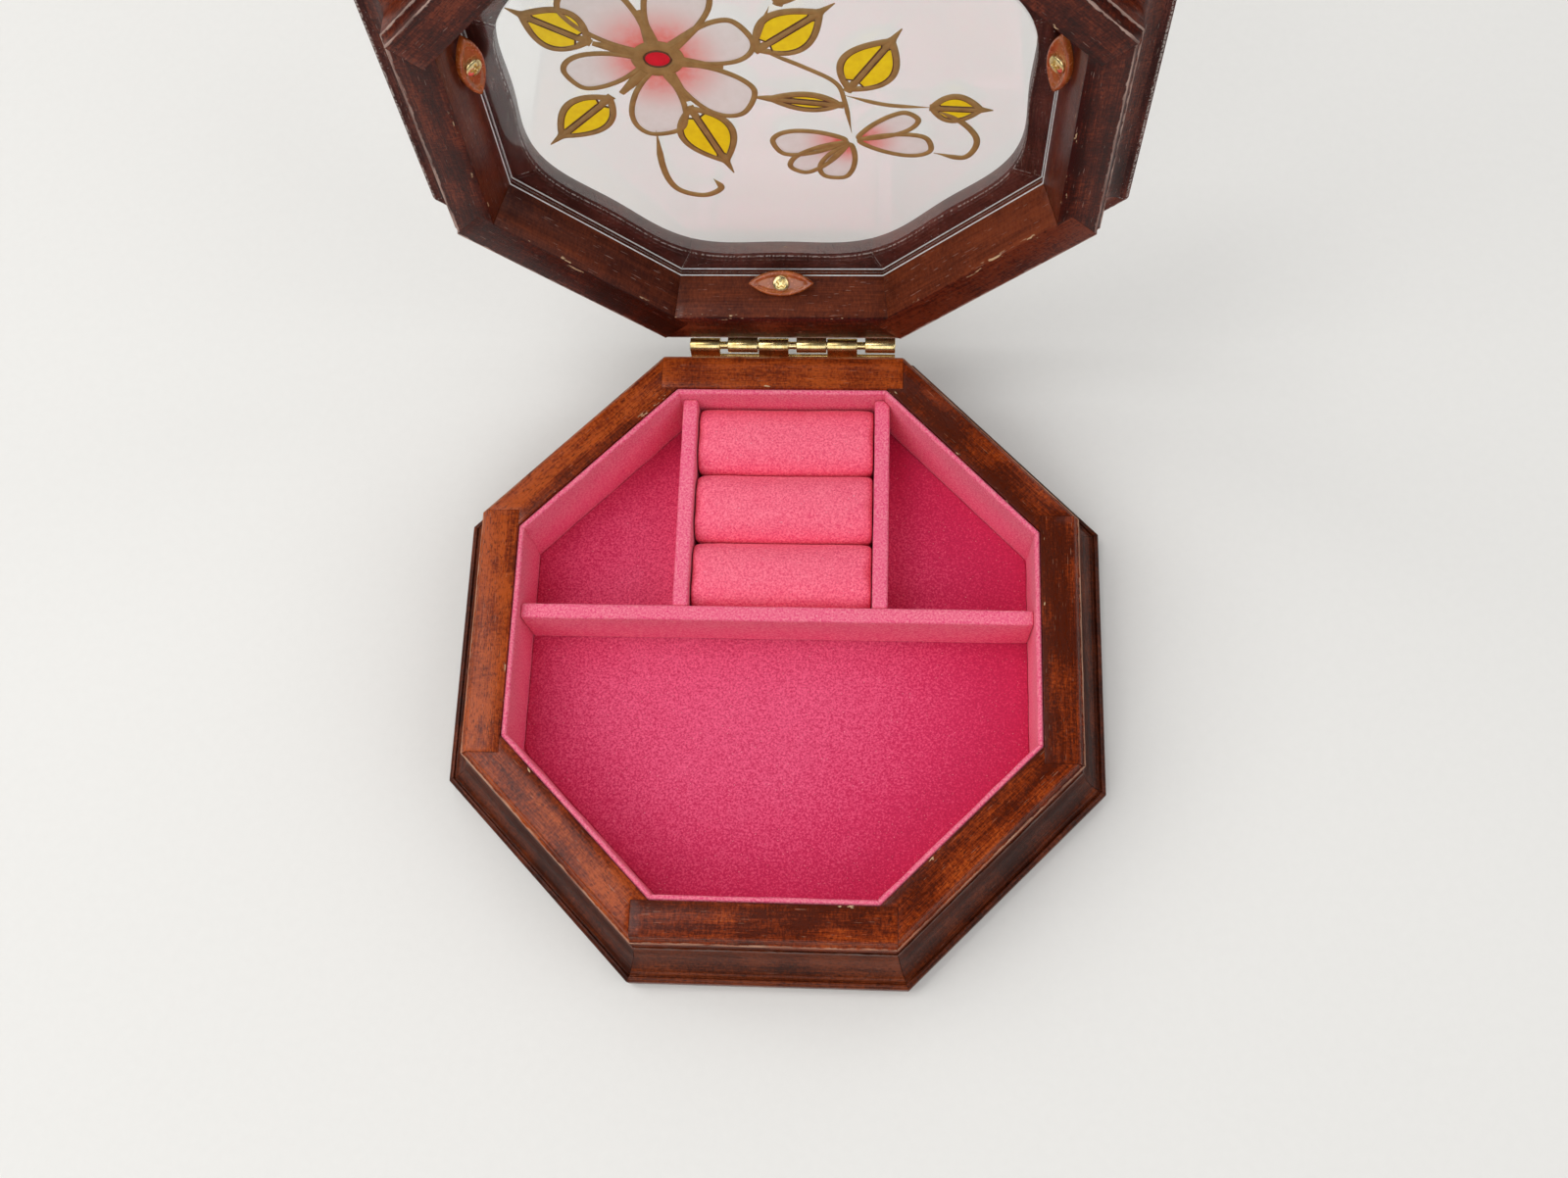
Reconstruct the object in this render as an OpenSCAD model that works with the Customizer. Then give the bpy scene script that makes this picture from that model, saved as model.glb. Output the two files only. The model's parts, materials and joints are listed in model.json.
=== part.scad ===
// Octagonal jewelry box: a felt-lined tray with a hinged lid that frames a glass pane.
// +X is to the right, +Y towards the hinge and +Z up. The origin is the centre of the
// underside. The lid is drawn closed and then swung open about the hinge pin.

/* [Box] */
// Width of the tray rim across its outer flats
rim_flats = 150; // [140:1:160]
// Width of the plinth and of the lid's overhang across flats
plinth_flats = 168; // [162:1:172]
// Height of the base, from the underside to the rim
base_h = 28; // [26:0.5:34]
// Width of the rim face
rim_w = 8.7; // [8:0.1:10]
// Width of the small cove along the rim's outer edge
edge_cove_w = 1.3; // [1:0.1:2.5]
// Height of that cove
edge_cove_h = 2.4; // [1.5:0.1:3]

/* [Plinth] */
// Height of the plinth's upright foot
foot_h = 6.3; // [4:0.1:8]
// Height of the plinth's top above the underside
plinth_top = 17.8; // [14:0.1:18]
// Radius that rounds the foot's upper edge
foot_round = 1.3; // [0.5:0.1:2]

/* [Tray] */
// Thickness of the bottom panel, which is flush with the underside
panel_t = 4.5; // [3:0.1:6]
// Thickness of the padded floor card
floor_t = 2.2; // [1:0.1:2.5]
// Thickness of the lining strips
lining_t = 1.5; // [0.8:0.1:1.8]
// Distance from the rim down to the lining's top edge
lining_drop = 0.5; // [0.2:0.1:1.5]
// Thickness of the dividers
divider_t = 3.9; // [2.5:0.1:5]
// Distance from the rim down to the dividers' top edge
divider_drop = 3.8; // [3:0.1:6]
// Distance of the cross divider behind the centre
cross_y = 5.9; // [0:0.1:12]
// Clear width of the ring bay
bay_w = 46.6; // [36:0.1:50]
// Distance of the ring bay to the right of the centre
bay_x = 1.1; // [-2:0.1:3]
// Number of ring rolls
roll_count = 3; // [3:1:3]
// Distance from the rim down to the crest of the rolls
roll_drop = 4.6; // [4.5:0.1:8]

/* [Lid] */
// Gap between the rim and the closed lid
seam = 0.3; // [0.2:0.1:0.6]
// Angle by which the lid stands open
open_angle = 96; // [92:1:100]
// Width of the lid's mating face
mate_w = 9.1; // [8:0.1:10]
// Distance by which the lid's inner faces lean in between the mating face and the glass
lean = 3; // [1:0.1:4]
// Depth of the glass below the mating face
glass_depth = 10.8; // [9:0.1:12]
// Thickness of the glass
glass_t = 2; // [1.5:0.1:3]
// Thickness of the top frame
frame_t = 4.7; // [4:0.1:6]
// Mean radius of the scalloped window
window_r = 58.8; // [54:0.1:60.5]
// Depth of the window's scallops as a share of its radius
scallop = 0.026; // [0:0.001:0.03]

/* [Hinge] */
// Length of the hinge
hinge_w = 52; // [46:1:58]
// Distance of the hinge to the right of the centre
hinge_x = 1.6; // [-3:0.1:3]
// Thickness of the hinge leaves
leaf_t = 0.8; // [0.6:0.1:1]
// Radius of the hinge barrel
barrel_r = 1.9; // [1.7:0.05:2.2]
// Radius of the hinge pin
pin_r = 1; // [0.8:0.05:1.1]
// Height of the base leaf below the pin
base_leaf_h = 10; // [9:0.5:10.5]
// Height of the lid leaf beyond the pin
lid_leaf_h = 7; // [6:0.5:7]

/* [Hidden] */
$fn = 48;
SIDES = ["right", "back_right", "back", "back_left", "left", "front_left", "front", "front_right"];
ROLLS = ["back", "middle", "front"];
CLIPS = ["right", "back", "left", "front"];

turn = 45;               // angle from one side of the octagon to the next
corner = tan(turn / 2);  // half a side's length over the distance to its middle
clear = 0.05;            // gap at glued and pressed faces
rim_r = rim_flats / 2;
body_r = rim_r + edge_cove_w;
plinth_r = plinth_flats / 2;
tray_r = rim_r - rim_w;
lining_r = tray_r - lining_t;
floor_z = panel_t + floor_t;
rabbet = 2.9;             // width of the ledge in the walls that the panel is glued to
arc_steps = 8;

divider_top = base_h - divider_drop;
cross_back = cross_y + divider_t / 2;
roll_gap = 0.3;
roll_pitch = (lining_r - cross_back - roll_gap) / roll_count;

glass_back = glass_depth + glass_t + clear;
lid_h = glass_back + frame_t;
mate_r = rim_r - mate_w;
well_r = mate_r - lean;
glass_r = well_r - 0.3;
flare_r = plinth_r - 2.5;
flare_z = 7.5;
frame_round = 1.3;
window_steps = 96;

mate_z = base_h + seam;  // height of the closed lid's mating plane
hinge_y = body_r + 0.25 + barrel_r;
hinge_z = base_h + seam / 2;
hinge_left = hinge_x - hinge_w / 2;
bore_r = pin_r + clear;
spacer = 2.1;            // wide gap after every second knuckle
slack = 0.25;            // narrow gap between the other knuckles
knuckle_w = (hinge_w - 2 * spacer - 3 * slack) / 6;
screw_head_r = 2.1;
screw_head_h = 0.8;
screw_r = 0.8;
screw_len = 6.5;
screw_xs = [-19, 0, 19];
base_screw_z = hinge_z - base_leaf_h + 3.2;
lid_screw_z = 4.6;

clip_len = 17;
clip_w = 6.5;
clip_t = 1.5;
clip_low = 5.7;          // depth at which a clip's lower edge meets the lid wall
clip_side_y = -17;       // place of the side clips, measured towards the hinge
clip_round = (pow(clip_len, 2) + pow(clip_w, 2)) / (4 * clip_w);
clip_foot = [mate_r - lean * clip_low / glass_depth - clear, clip_low];
clip_tilt = 47.7;
clip_screw_r = 1;
clip_screw_len = 5.4;

// Points of a quarter of an ellipse, hollow side towards the outside.
function cove(centre, w, h) = [
    for (i = [0 : arc_steps]) centre - [w * cos(90 * i / arc_steps), h * sin(90 * i / arc_steps)]
];

// Points of a quarter circle that rounds an outer edge, from one angle to the other.
function round_edge(centre, r, from, to) = [
    for (i = [0 : arc_steps / 2]) let (a = from + (to - from) * i * 2 / arc_steps)
        centre + r * [cos(a), sin(a)]
];

function flip(points) = [for (p = points) [p[0], -p[1]]];
function reversed(points) = [for (i = [len(points) - 1 : -1 : 0]) points[i]];
function on_mitre(r) = [r, r * corner];

// Plan of one side: its joint follows the mitre line inside join_r and outside outer_r. Between
// them a square side ends square at its outer corner, and a fitted side butts against it.
function joint_line(inner_r, join_r, outer_r, far_r, square) = concat(
    [on_mitre(inner_r), on_mitre(join_r)],
    [square ? [join_r, outer_r * corner]
            : [join_r + outer_r * corner, join_r - outer_r * corner] * cos(turn)],
    [on_mitre(outer_r), on_mitre(far_r)]
);

function side_plan(inner_r, join_r, outer_r, far_r, square) =
    let (edge = joint_line(inner_r, join_r, outer_r, far_r, square))
        concat(edge, reversed(flip(edge)));

// A profile of [distance from the centre, height], drawn out along the side whose number is i.
module side_bar(i, profile, plan) {
    rotate(turn * i)
        intersection() {
            rotate([90, 0, 0])
                linear_extrude(2 * plinth_r, center = true)
                    polygon(profile);
            translate([0, 0, -1])
                linear_extrude(base_h + lid_h)
                    polygon(plan);
        }
}

module octagon(r) {
    rotate(turn / 2)
        circle(r / cos(turn / 2), $fn = 8);
}

// Swings the closed lid open about the hinge pin.
module opened() {
    translate([0, hinge_y, hinge_z])
        rotate([-open_angle, 0, 0])
            translate([0, -hinge_y, seam / 2])
                children();
}

// Base ----------------------------------------------------------------------------------------

module base_panel() {
    color("saddlebrown")
        linear_extrude(panel_t - clear)
            octagon(tray_r + rabbet - clear);
}

module wall(i) {
    profile = concat(
        [[tray_r, base_h], [tray_r, 0], [body_r, 0]],
        reversed(cove([body_r, base_h], edge_cove_w, edge_cove_h))
    );
    color("sienna")
        difference() {
            side_bar(i, profile, side_plan(tray_r, tray_r, body_r, body_r + 1, i % 2 == 0));
            translate([0, 0, -1])
                linear_extrude(panel_t + 1)
                    octagon(tray_r + rabbet);
            if (SIDES[i] == "back")
                hinge_screw_places(base_screw_z)
                    screw_hole();
        }
}

module plinth(i) {
    inner = body_r + clear;
    crest = plinth_r - foot_round;
    profile = concat(
        [[inner, 0], [plinth_r - 0.8, 0], [plinth_r, 0.8]],
        round_edge([crest, foot_h - foot_round], foot_round, 0, 90),
        reversed(cove([crest, plinth_top], crest - inner, plinth_top - foot_h))
    );
    color([0.25, 0.1, 0.08])
        side_bar(i, profile, side_plan(inner, inner, inner, plinth_r + 1, true));
}

module floor_pad() {
    color("mediumvioletred")
        translate([0, 0, panel_t])
            linear_extrude(floor_t)
                octagon(tray_r - 0.2);
}

module lining(i) {
    outer = tray_r - clear;
    top = base_h - lining_drop;
    profile = [[lining_r, floor_z + clear], [outer, floor_z + clear], [outer, top], [lining_r, top]];
    color("palevioletred")
        side_bar(i, profile, side_plan(lining_r, lining_r, lining_r, outer, true));
}

// A wrapped card divider between two corners of its plan, cut to fit inside the lining.
module divider(low, high) {
    foot = floor_z + clear;
    color("palevioletred")
        intersection() {
            translate([low[0], low[1], foot])
                cube([high[0] - low[0], high[1] - low[1], divider_top - foot]);
            linear_extrude(base_h)
                octagon(lining_r - clear);
        }
}

module divider_cross() {
    divider([-lining_r, cross_back - divider_t], [lining_r, cross_back]);
}

module divider_left() {
    side = bay_x - bay_w / 2;
    divider([side - divider_t, cross_back + clear], [side, lining_r]);
}

module divider_right() {
    side = bay_x + bay_w / 2;
    divider([side, cross_back + clear], [side + divider_t, lining_r]);
}

// One padded roll: a straight-sided block with a half-round top. Roll 0 is the rearmost.
module ring_roll(i) {
    width = roll_pitch - roll_gap;
    length = bay_w - 2 * roll_gap;
    foot = floor_z + clear;
    crest = base_h - roll_drop;
    color("hotpink")
        translate([bay_x - length / 2, lining_r - roll_gap - width / 2 - i * roll_pitch, 0])
            rotate([90, 0, 90])
                linear_extrude(length)
                    intersection() {
                        translate([-width / 2, foot])
                            square([width, crest - foot]);
                        union() {
                            translate([0, crest - width / 2])
                                circle(width / 2);
                            translate([-width / 2, foot])
                                square([width, crest - foot - width / 2]);
                        }
                    }
}

// Hinge ---------------------------------------------------------------------------------------

// Repeats its children at each screw of a hinge leaf, heads towards the back.
module hinge_screw_places(z) {
    for (x = screw_xs)
        translate([hinge_x + x, body_r, z])
            rotate([-90, 0, 0])
                children();
}

module screw_hole() {
    translate([0, 0, -screw_len - 0.3])
        cylinder(h = screw_len + 2, r = screw_r + clear);
}

module hinge_screw() {
    translate([0, 0, -screw_len])
        cylinder(h = screw_len + leaf_t + 0.1, r = screw_r);
    translate([0, 0, leaf_t + clear])
        difference() {
            cylinder(h = screw_head_h, r1 = screw_head_r, r2 = screw_head_r * 0.7);
            translate([-screw_head_r, -0.2, screw_head_h * 0.4])
                cube([2 * screw_head_r, 0.4, screw_head_h]);
        }
}

// First X of knuckle k. Knuckles 0, 2 and 4 belong to the base leaf.
function knuckle_x(k) =
    hinge_left + floor((k + 1) / 2) * spacer + floor(k / 2) * slack + k * knuckle_w;

// A leaf that hangs down from the pin by the height given, with every second knuckle from
// first. The cut-outs let the other leaf's knuckles turn.
module leaf(first, height) {
    cut = barrel_r + slack;
    difference() {
        union() {
            translate([hinge_left, body_r, hinge_z - height])
                cube([hinge_w, leaf_t, height]);
            for (k = [first : 2 : 5])
                translate([knuckle_x(k), 0, 0]) {
                    translate([0, hinge_y - barrel_r, hinge_z - cut])
                        cube([knuckle_w, leaf_t, cut]);
                    translate([0, hinge_y, hinge_z])
                        rotate([0, 90, 0])
                            cylinder(h = knuckle_w, r = barrel_r);
                }
        }
        for (k = [1 - first : 2 : 5])
            leaf_cut_out(k, cut);
        translate([-hinge_w, hinge_y, hinge_z])
            rotate([0, 90, 0])
                cylinder(h = 2 * hinge_w, r = bore_r);
    }
}

// Room around the other leaf's knuckle k, as far as its own leaf's next knuckles.
module leaf_cut_out(k, cut) {
    from = k < 1 ? hinge_left - 1 : knuckle_x(k - 1) + knuckle_w;
    to = k > 4 ? hinge_left + hinge_w + 1 : knuckle_x(k + 1);
    translate([from, body_r - 1, hinge_z - cut])
        cube([to - from, 2 * barrel_r, cut + 1]);
}

module hinge_leaf_base() {
    color("goldenrod")
        difference() {
            leaf(0, base_leaf_h);
            hinge_screw_places(base_screw_z)
                screw_hole();
        }
}

module hinge_pin() {
    color("darkgoldenrod")
        translate([hinge_left, hinge_y, hinge_z])
            rotate([0, 90, 0])
                cylinder(h = hinge_w, r = pin_r);
}

module hinge_screws_base() {
    color("gold")
        hinge_screw_places(base_screw_z)
            hinge_screw();
}

// The lid leaf is the base leaf's shape turned over, with the other knuckles.
module hinge_leaf_lid() {
    color("goldenrod")
        opened()
            translate([0, 0, -mate_z])
                difference() {
                    translate([0, 0, 2 * hinge_z])
                        mirror([0, 0, 1])
                            leaf(1, lid_leaf_h);
                    hinge_screw_places(lid_screw_z + mate_z)
                        screw_hole();
                }
}

module hinge_screws_lid() {
    color("gold")
        opened()
            hinge_screw_places(lid_screw_z)
                hinge_screw();
}

// Lid -----------------------------------------------------------------------------------------

module lid_wall(i) {
    back = glass_back - clear;
    profile = concat(
        [[mate_r, 0], [well_r, glass_depth], [well_r, back]],
        reversed(flip(cove([flare_r, -flare_z], flare_r - body_r, back - flare_z))),
        reversed(flip(cove([body_r, 0], edge_cove_w, edge_cove_h)))
    );
    color("brown")
        opened()
            difference() {
                side_bar(i, profile, side_plan(well_r, mate_r, body_r, flare_r + 1, i % 2 == 1));
                if (i % 2 == 0)
                    clip_place(i / 2)
                        clip_screw_hole();
                if (SIDES[i] == "back")
                    hinge_screw_places(lid_screw_z)
                        screw_hole();
            }
}

// Outline of the window: an eight-lobed curve, round at the corners and hollow between them.
module window() {
    polygon([
        for (k = [0 : window_steps - 1]) let (a = 360 * k / window_steps)
            window_r * (1 - scallop * cos(8 * a)) * [cos(a), sin(a)]
    ]);
}

module lid_frame(i) {
    inner = window_r * 0.8;
    profile = concat(
        [[inner, lid_h], [inner, glass_back], [plinth_r - frame_round, glass_back]],
        round_edge([plinth_r - frame_round, glass_back + frame_round], frame_round, -90, 0),
        round_edge([plinth_r - frame_round, lid_h - frame_round], frame_round, 0, 90)
    );
    color("maroon")
        opened()
            difference() {
                side_bar(i, profile, side_plan(inner, inner, inner, plinth_r + 1, true));
                linear_extrude(lid_h + 1)
                    window();
            }
}

module glass_panel() {
    color([0.8, 0.9, 0.9, 0.4])
        opened()
            translate([0, 0, glass_depth])
                linear_extrude(glass_t)
                    octagon(glass_r);
}

// Repeats its children where clip c sits. There Z points from the lid's corner into the box, X
// runs along the wall and Y from the wall towards the glass.
module clip_place(c) {
    shift = c == 0 ? clip_side_y : c == 2 ? -clip_side_y : 0;
    rotate(2 * turn * c)
        translate([clip_foot[0], shift, clip_foot[1]])
            rotate([0, 180 + clip_tilt, 0])
                rotate(90)
                    translate([0, -clip_w / 2, 0])
                        children();
}

module vesica(r) {
    apart = clip_round - clip_w / 2;
    intersection() {
        translate([0, -apart])
            circle(r, $fn = 96);
        translate([0, apart])
            circle(r, $fn = 96);
    }
}

module glass_clip(c) {
    dish = 0.5;
    color("chocolate")
        opened()
            clip_place(c)
                difference() {
                    linear_extrude(clip_t)
                        vesica(clip_round);
                    translate([0, 0, clip_t - dish])
                        linear_extrude(clip_t)
                            vesica(clip_round - 0.8);
                    translate([0, 0, -1])
                        cylinder(h = clip_t + 2, r = clip_screw_r + clear);
                }
}

module clip_screw_hole() {
    translate([0, 0, -clip_screw_len - 0.3])
        cylinder(h = clip_screw_len + 2, r = clip_screw_r + clear);
}

module clip_screws() {
    head_z = clip_t - 0.45;
    head_r = 2.15;
    head_h = 0.9;
    color("gold")
        opened()
            for (c = [0 : 3])
                clip_place(c) {
                    translate([0, 0, -clip_screw_len])
                        cylinder(h = clip_screw_len + head_z + 0.1, r = clip_screw_r);
                    translate([0, 0, head_z])
                        difference() {
                            cylinder(h = head_h, r1 = head_r, r2 = head_r * 0.75);
                            for (a = [0, 90])
                                rotate(a)
                                    translate([-1.4, -0.2, head_h * 0.4])
                                        cube([2.8, 0.4, head_h]);
                        }
                }
}

base_panel();
floor_pad();
divider_cross();
divider_left();
divider_right();
for (i = [0 : len(SIDES) - 1]) {
    wall(i);
    plinth(i);
    lining(i);
    lid_wall(i);
    lid_frame(i);
}
for (i = [0 : len(ROLLS) - 1])
    ring_roll(i);
hinge_leaf_base();
hinge_pin();
hinge_screws_base();
glass_panel();
for (c = [0 : len(CLIPS) - 1])
    glass_clip(c);
clip_screws();
hinge_leaf_lid();
hinge_screws_lid();
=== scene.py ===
"""Looks of the octagonal jewelry box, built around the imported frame.

Every stave, board and strip is drawn in its own side's coordinates (distance from the box's
centre line, place along the side, height) and then turned to its side. Lid pieces are drawn
closed, with height 0 on the mating face, and swung open by LID.
"""
import json
from math import copysign, cos, hypot, pi, radians, sin, sqrt, tan

import bmesh
import bpy
import numpy as np
from mathutils import Matrix, Vector, noise


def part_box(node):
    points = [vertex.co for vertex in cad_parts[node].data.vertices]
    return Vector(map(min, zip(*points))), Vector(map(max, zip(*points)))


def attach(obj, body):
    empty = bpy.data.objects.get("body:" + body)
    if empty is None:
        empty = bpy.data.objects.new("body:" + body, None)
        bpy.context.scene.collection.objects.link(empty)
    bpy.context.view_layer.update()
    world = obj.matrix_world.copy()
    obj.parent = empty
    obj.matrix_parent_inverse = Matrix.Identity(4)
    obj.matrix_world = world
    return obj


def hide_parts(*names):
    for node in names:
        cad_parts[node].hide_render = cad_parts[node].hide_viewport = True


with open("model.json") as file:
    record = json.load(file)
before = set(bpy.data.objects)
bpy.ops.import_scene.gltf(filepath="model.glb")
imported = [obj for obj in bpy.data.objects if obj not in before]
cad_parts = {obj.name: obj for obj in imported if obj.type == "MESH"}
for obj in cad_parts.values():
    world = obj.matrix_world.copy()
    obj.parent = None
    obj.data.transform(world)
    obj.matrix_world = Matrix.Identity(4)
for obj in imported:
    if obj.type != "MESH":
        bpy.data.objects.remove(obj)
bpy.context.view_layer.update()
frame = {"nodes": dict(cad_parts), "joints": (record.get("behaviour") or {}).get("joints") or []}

# Sizes

MM = 0.001
CLEAR = 0.05 * MM          # gap at glued faces, as in the CAD
SIDES = ("right", "back_right", "back", "back_left", "left", "front_left", "front", "front_right")
TURN = radians(45)
CORNER = tan(TURN / 2)

BODY_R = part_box("wall_right")[1].x
RIM_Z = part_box("wall_right")[1].z
TRAY_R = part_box("wall_right")[0].x
LINING_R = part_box("lining_right")[0].x
LINING_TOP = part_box("lining_right")[1].z
FLOOR_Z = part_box("floor_pad")[1].z
PANEL_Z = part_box("floor_pad")[0].z
PANEL_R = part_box("base_panel")[1].x
PLINTH_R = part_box("plinth_right")[1].x
PLINTH_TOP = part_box("plinth_right")[1].z

EDGE_COVE = (1.3 * MM, 2.4 * MM)      # width and height of the cove along the rim's outer edge
RIM_R = BODY_R - EDGE_COVE[0]
EDGE_SOFT = 0.55 * MM      # how far handling has rounded the rim's outer arris
FOOT_H = 6.3 * MM
FOOT_ROUND = 1.3 * MM
FOOT_GROOVE = ((0.15, -0.45), (0.45, -0.5), (0.6, 0.1), (0.85, 0.35), (1.2, 0.5))
FACE_HOLLOW = 0.45         # 0 for a flat face on the plinth, 1 for a full cove
MATE_R = RIM_R - 9.1 * MM
FLARE_Z = 7.5 * MM
FLARE_R = PLINTH_R - 2.5 * MM
FRAME_ROUND = 1.3 * MM
WINDOW_R = 58.8 * MM
SCALLOP = 0.026

HINGE = Vector(frame["joints"][0]["pos_m"])
OPEN = radians(frame["joints"][0]["range_deg"][1])
MATE_Z = 2 * HINGE.z - RIM_Z          # height of the closed lid's mating face
SWING = Matrix.Translation(HINGE) @ Matrix.Rotation(-OPEN, 4, "X") @ Matrix.Translation(-HINGE)
LID = SWING @ Matrix.Translation((0, 0, MATE_Z))


def lid_box(node):
    """Lowest and highest corner of a lid node in the closed lid's own coordinates."""
    back = LID.inverted()
    points = np.array([back @ v.co for v in frame["nodes"][node].data.vertices])
    return Vector(points.min(0)), Vector(points.max(0))


GLASS_FRONT = lid_box("glass_panel")[0].z
GLASS_BACK = lid_box("glass_panel")[1].z
GLASS_R = lid_box("glass_panel")[1].x
WELL_R = lid_box("lid_wall_right")[0].x
FRAME_Z = lid_box("lid_frame_right")[0].z
FRAME_TOP = lid_box("lid_frame_right")[1].z

# Meshes


def linked(name, data):
    """A new object in the scene."""
    made = bpy.data.objects.new(name, data)
    bpy.context.collection.objects.link(made)
    return made


def evaluated(piece):
    """A copy of an object's mesh with its modifiers applied."""
    depsgraph = bpy.context.evaluated_depsgraph_get()
    return bpy.data.meshes.new_from_object(piece.evaluated_get(depsgraph))


def add_mesh(name, mesh, material, nodes=(), body="base", sharp=35):
    """Shades a mesh, gives it its material and body, and lets it stand for CAD nodes."""
    if isinstance(mesh, bmesh.types.BMesh):
        mesh = to_mesh(name, mesh)
    mesh.polygons.foreach_set("use_smooth", [True] * len(mesh.polygons))
    mesh.set_sharp_from_angle(angle=radians(sharp))
    mesh.materials.append(material)
    piece = linked(name, mesh)
    if nodes:
        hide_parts(*nodes)
    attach(piece, body)
    return piece


def to_mesh(name, bm):
    bmesh.ops.recalc_face_normals(bm, faces=bm.faces)
    mesh = bpy.data.meshes.new(name)
    bm.to_mesh(mesh)
    bm.free()
    return mesh


def bridge(bm, rings):
    """Faces between each ring of points and the next one."""
    for a, b in zip(rings, rings[1:]):
        for k in range(len(a)):
            n = (k + 1) % len(a)
            bm.faces.new((a[k], a[n], b[n], b[k]))


def closed_tube(bm, rings):
    bridge(bm, rings)
    bm.faces.new(rings[0])
    bm.faces.new(rings[-1])


def round_edges(bm, width, segments=2, angle=28):
    """Rounds every edge that is sharper than an angle in degrees."""
    bm.normal_update()
    edges = [e for e in bm.edges if len(e.link_faces) == 2
             and e.calc_face_angle(0) > radians(angle)]
    bmesh.ops.bevel(bm, geom=edges, offset=width, segments=segments, profile=0.6,
                    affect="EDGES", clamp_overlap=True)


def ruffle(bm, amount, size, seed):
    """Moves each point a little way along its normal, by smooth noise of the given size."""
    bm.normal_update()
    shift = Vector((seed * 3.1, seed * 7.7, seed * 1.3))
    moves = [v.normal * amount * noise.noise(v.co / size + shift) for v in bm.verts]
    for v, move in zip(bm.verts, moves):
        v.co += move


def store_vectors(mesh, name, values):
    attribute = mesh.attributes.new(name, "FLOAT_VECTOR", "POINT")
    attribute.data.foreach_set("vector", np.asarray(values, np.float32).ravel())


def points_of(mesh):
    points = np.zeros(len(mesh.vertices) * 3, np.float32)
    mesh.vertices.foreach_get("co", points)
    return points.reshape(-1, 3)


# Staves and strips


def arc(centre, width, height, start, end, steps=16):
    """Points of an elliptic arc, with its angles in degrees."""
    angles = np.radians(np.linspace(start, end, steps + 1))
    return [(centre[0] + width * cos(a), centre[1] + height * sin(a)) for a in angles]


def cut_rows(rows, radii):
    """The closed profile with a point added wherever it crosses one of the radii."""
    for radius in radii:
        cut = []
        for a, b in zip(rows, rows[1:] + rows[:1]):
            cut.append(a)
            if (a[0] - radius) * (b[0] - radius) < 0:
                share = (radius - a[0]) / (b[0] - a[0])
                cut.append((radius, a[1] + share * (b[1] - a[1])))
        rows = cut
    return rows


def sweep(rows, place, columns, bands):
    """A bar whose profile rows are put in place for t from -1 to 1. Its end caps are split into
    bands of radius, so that each part of an end is flat."""
    bm = bmesh.new()
    rings = [[bm.verts.new(place(row, t)) for row in rows]
             for t in np.linspace(-1, 1, columns + 1)]
    bridge(bm, rings)
    for ring in (rings[0], rings[-1]):
        for low, high in zip(bands, bands[1:]):
            face = [v for v, row in zip(ring, rows) if low - 1e-7 <= row[0] <= high + 1e-7]
            if len(face) > 2:
                bm.faces.new(face)
    bmesh.ops.recalc_face_normals(bm, faces=bm.faces)
    return bm


def fold_point(join_r, outer_r):
    """Where a fitted stave's end turns, at the square corner of the stave beside it."""
    along = outer_r * CORNER
    return (join_r + along) * cos(TURN), (join_r - along) * cos(TURN)


TONES = (0.45, 0.50, 0.95, 0.90, 1.0, 0.85, 0.48, 0.55)    # how pale each side's board is
PLINTH_TONES = (0.50, 0.50, 0.70, 0.70, 0.65, 0.45, 0.90, 0.60)
LID_TONES = (0.65, 1.15, 0.75, 0.60, 0.70, 0.80, 0.90, 0.60)


def side_matrix(i):
    return Matrix.Rotation(TURN * i, 4, "Z")


def add_side(names, bm, i, material, body="base", tones=TONES):
    """Adds side i's bar. names are those of the piece and its CAD node, without the side."""
    name, node = (f"{kind}_{SIDES[i]}" for kind in names)
    mesh = finish_side(name, bm, i, LID if body == "lid" else Matrix.Identity(4), tones)
    add_mesh(name, mesh, material, [node], body)


def finish_side(name, bm, i, place=Matrix.Identity(4), tones=TONES):
    """The mesh of a bar turned to side i. Its points keep their place in the stave's own
    coordinates, and a second copy of that, shifted for each piece, drives the wood grain."""
    mesh = to_mesh(name, bm)
    local = points_of(mesh)
    store_vectors(mesh, "stave", local)
    seed = sum(ord(letter) for letter in name) % 97
    shift = np.array([0.31, 0.17, 0.05]) * (i + 1) + seed * 0.013
    store_vectors(mesh, "grain", local[:, (1, 0, 2)] + shift)
    tone = mesh.attributes.new("tone", "FLOAT", "POINT")
    tone.data.foreach_set("value", np.full(len(local), tones[i], np.float32))
    mesh.transform(place @ side_matrix(i))
    return mesh


JOINT_GAP = 0.03 * MM
JOINT_ROUND = 0.13 * MM
STAVE_COLUMNS = 24


def fill_rebate_corners(bm):
    """The parts of a square stave's ends that stand outside the bottom panel's rebate."""
    end = BODY_R * CORNER - JOINT_GAP
    shape = [(TRAY_R, PANEL_R / cos(TURN) - TRAY_R), (PANEL_R, PANEL_R * CORNER),
             (BODY_R, end), (TRAY_R, end)]
    for sign in (1, -1):
        closed_tube(bm, [[bm.verts.new((x, sign * y, z)) for x, y in shape]
                         for z in (0, PANEL_Z)])


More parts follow.
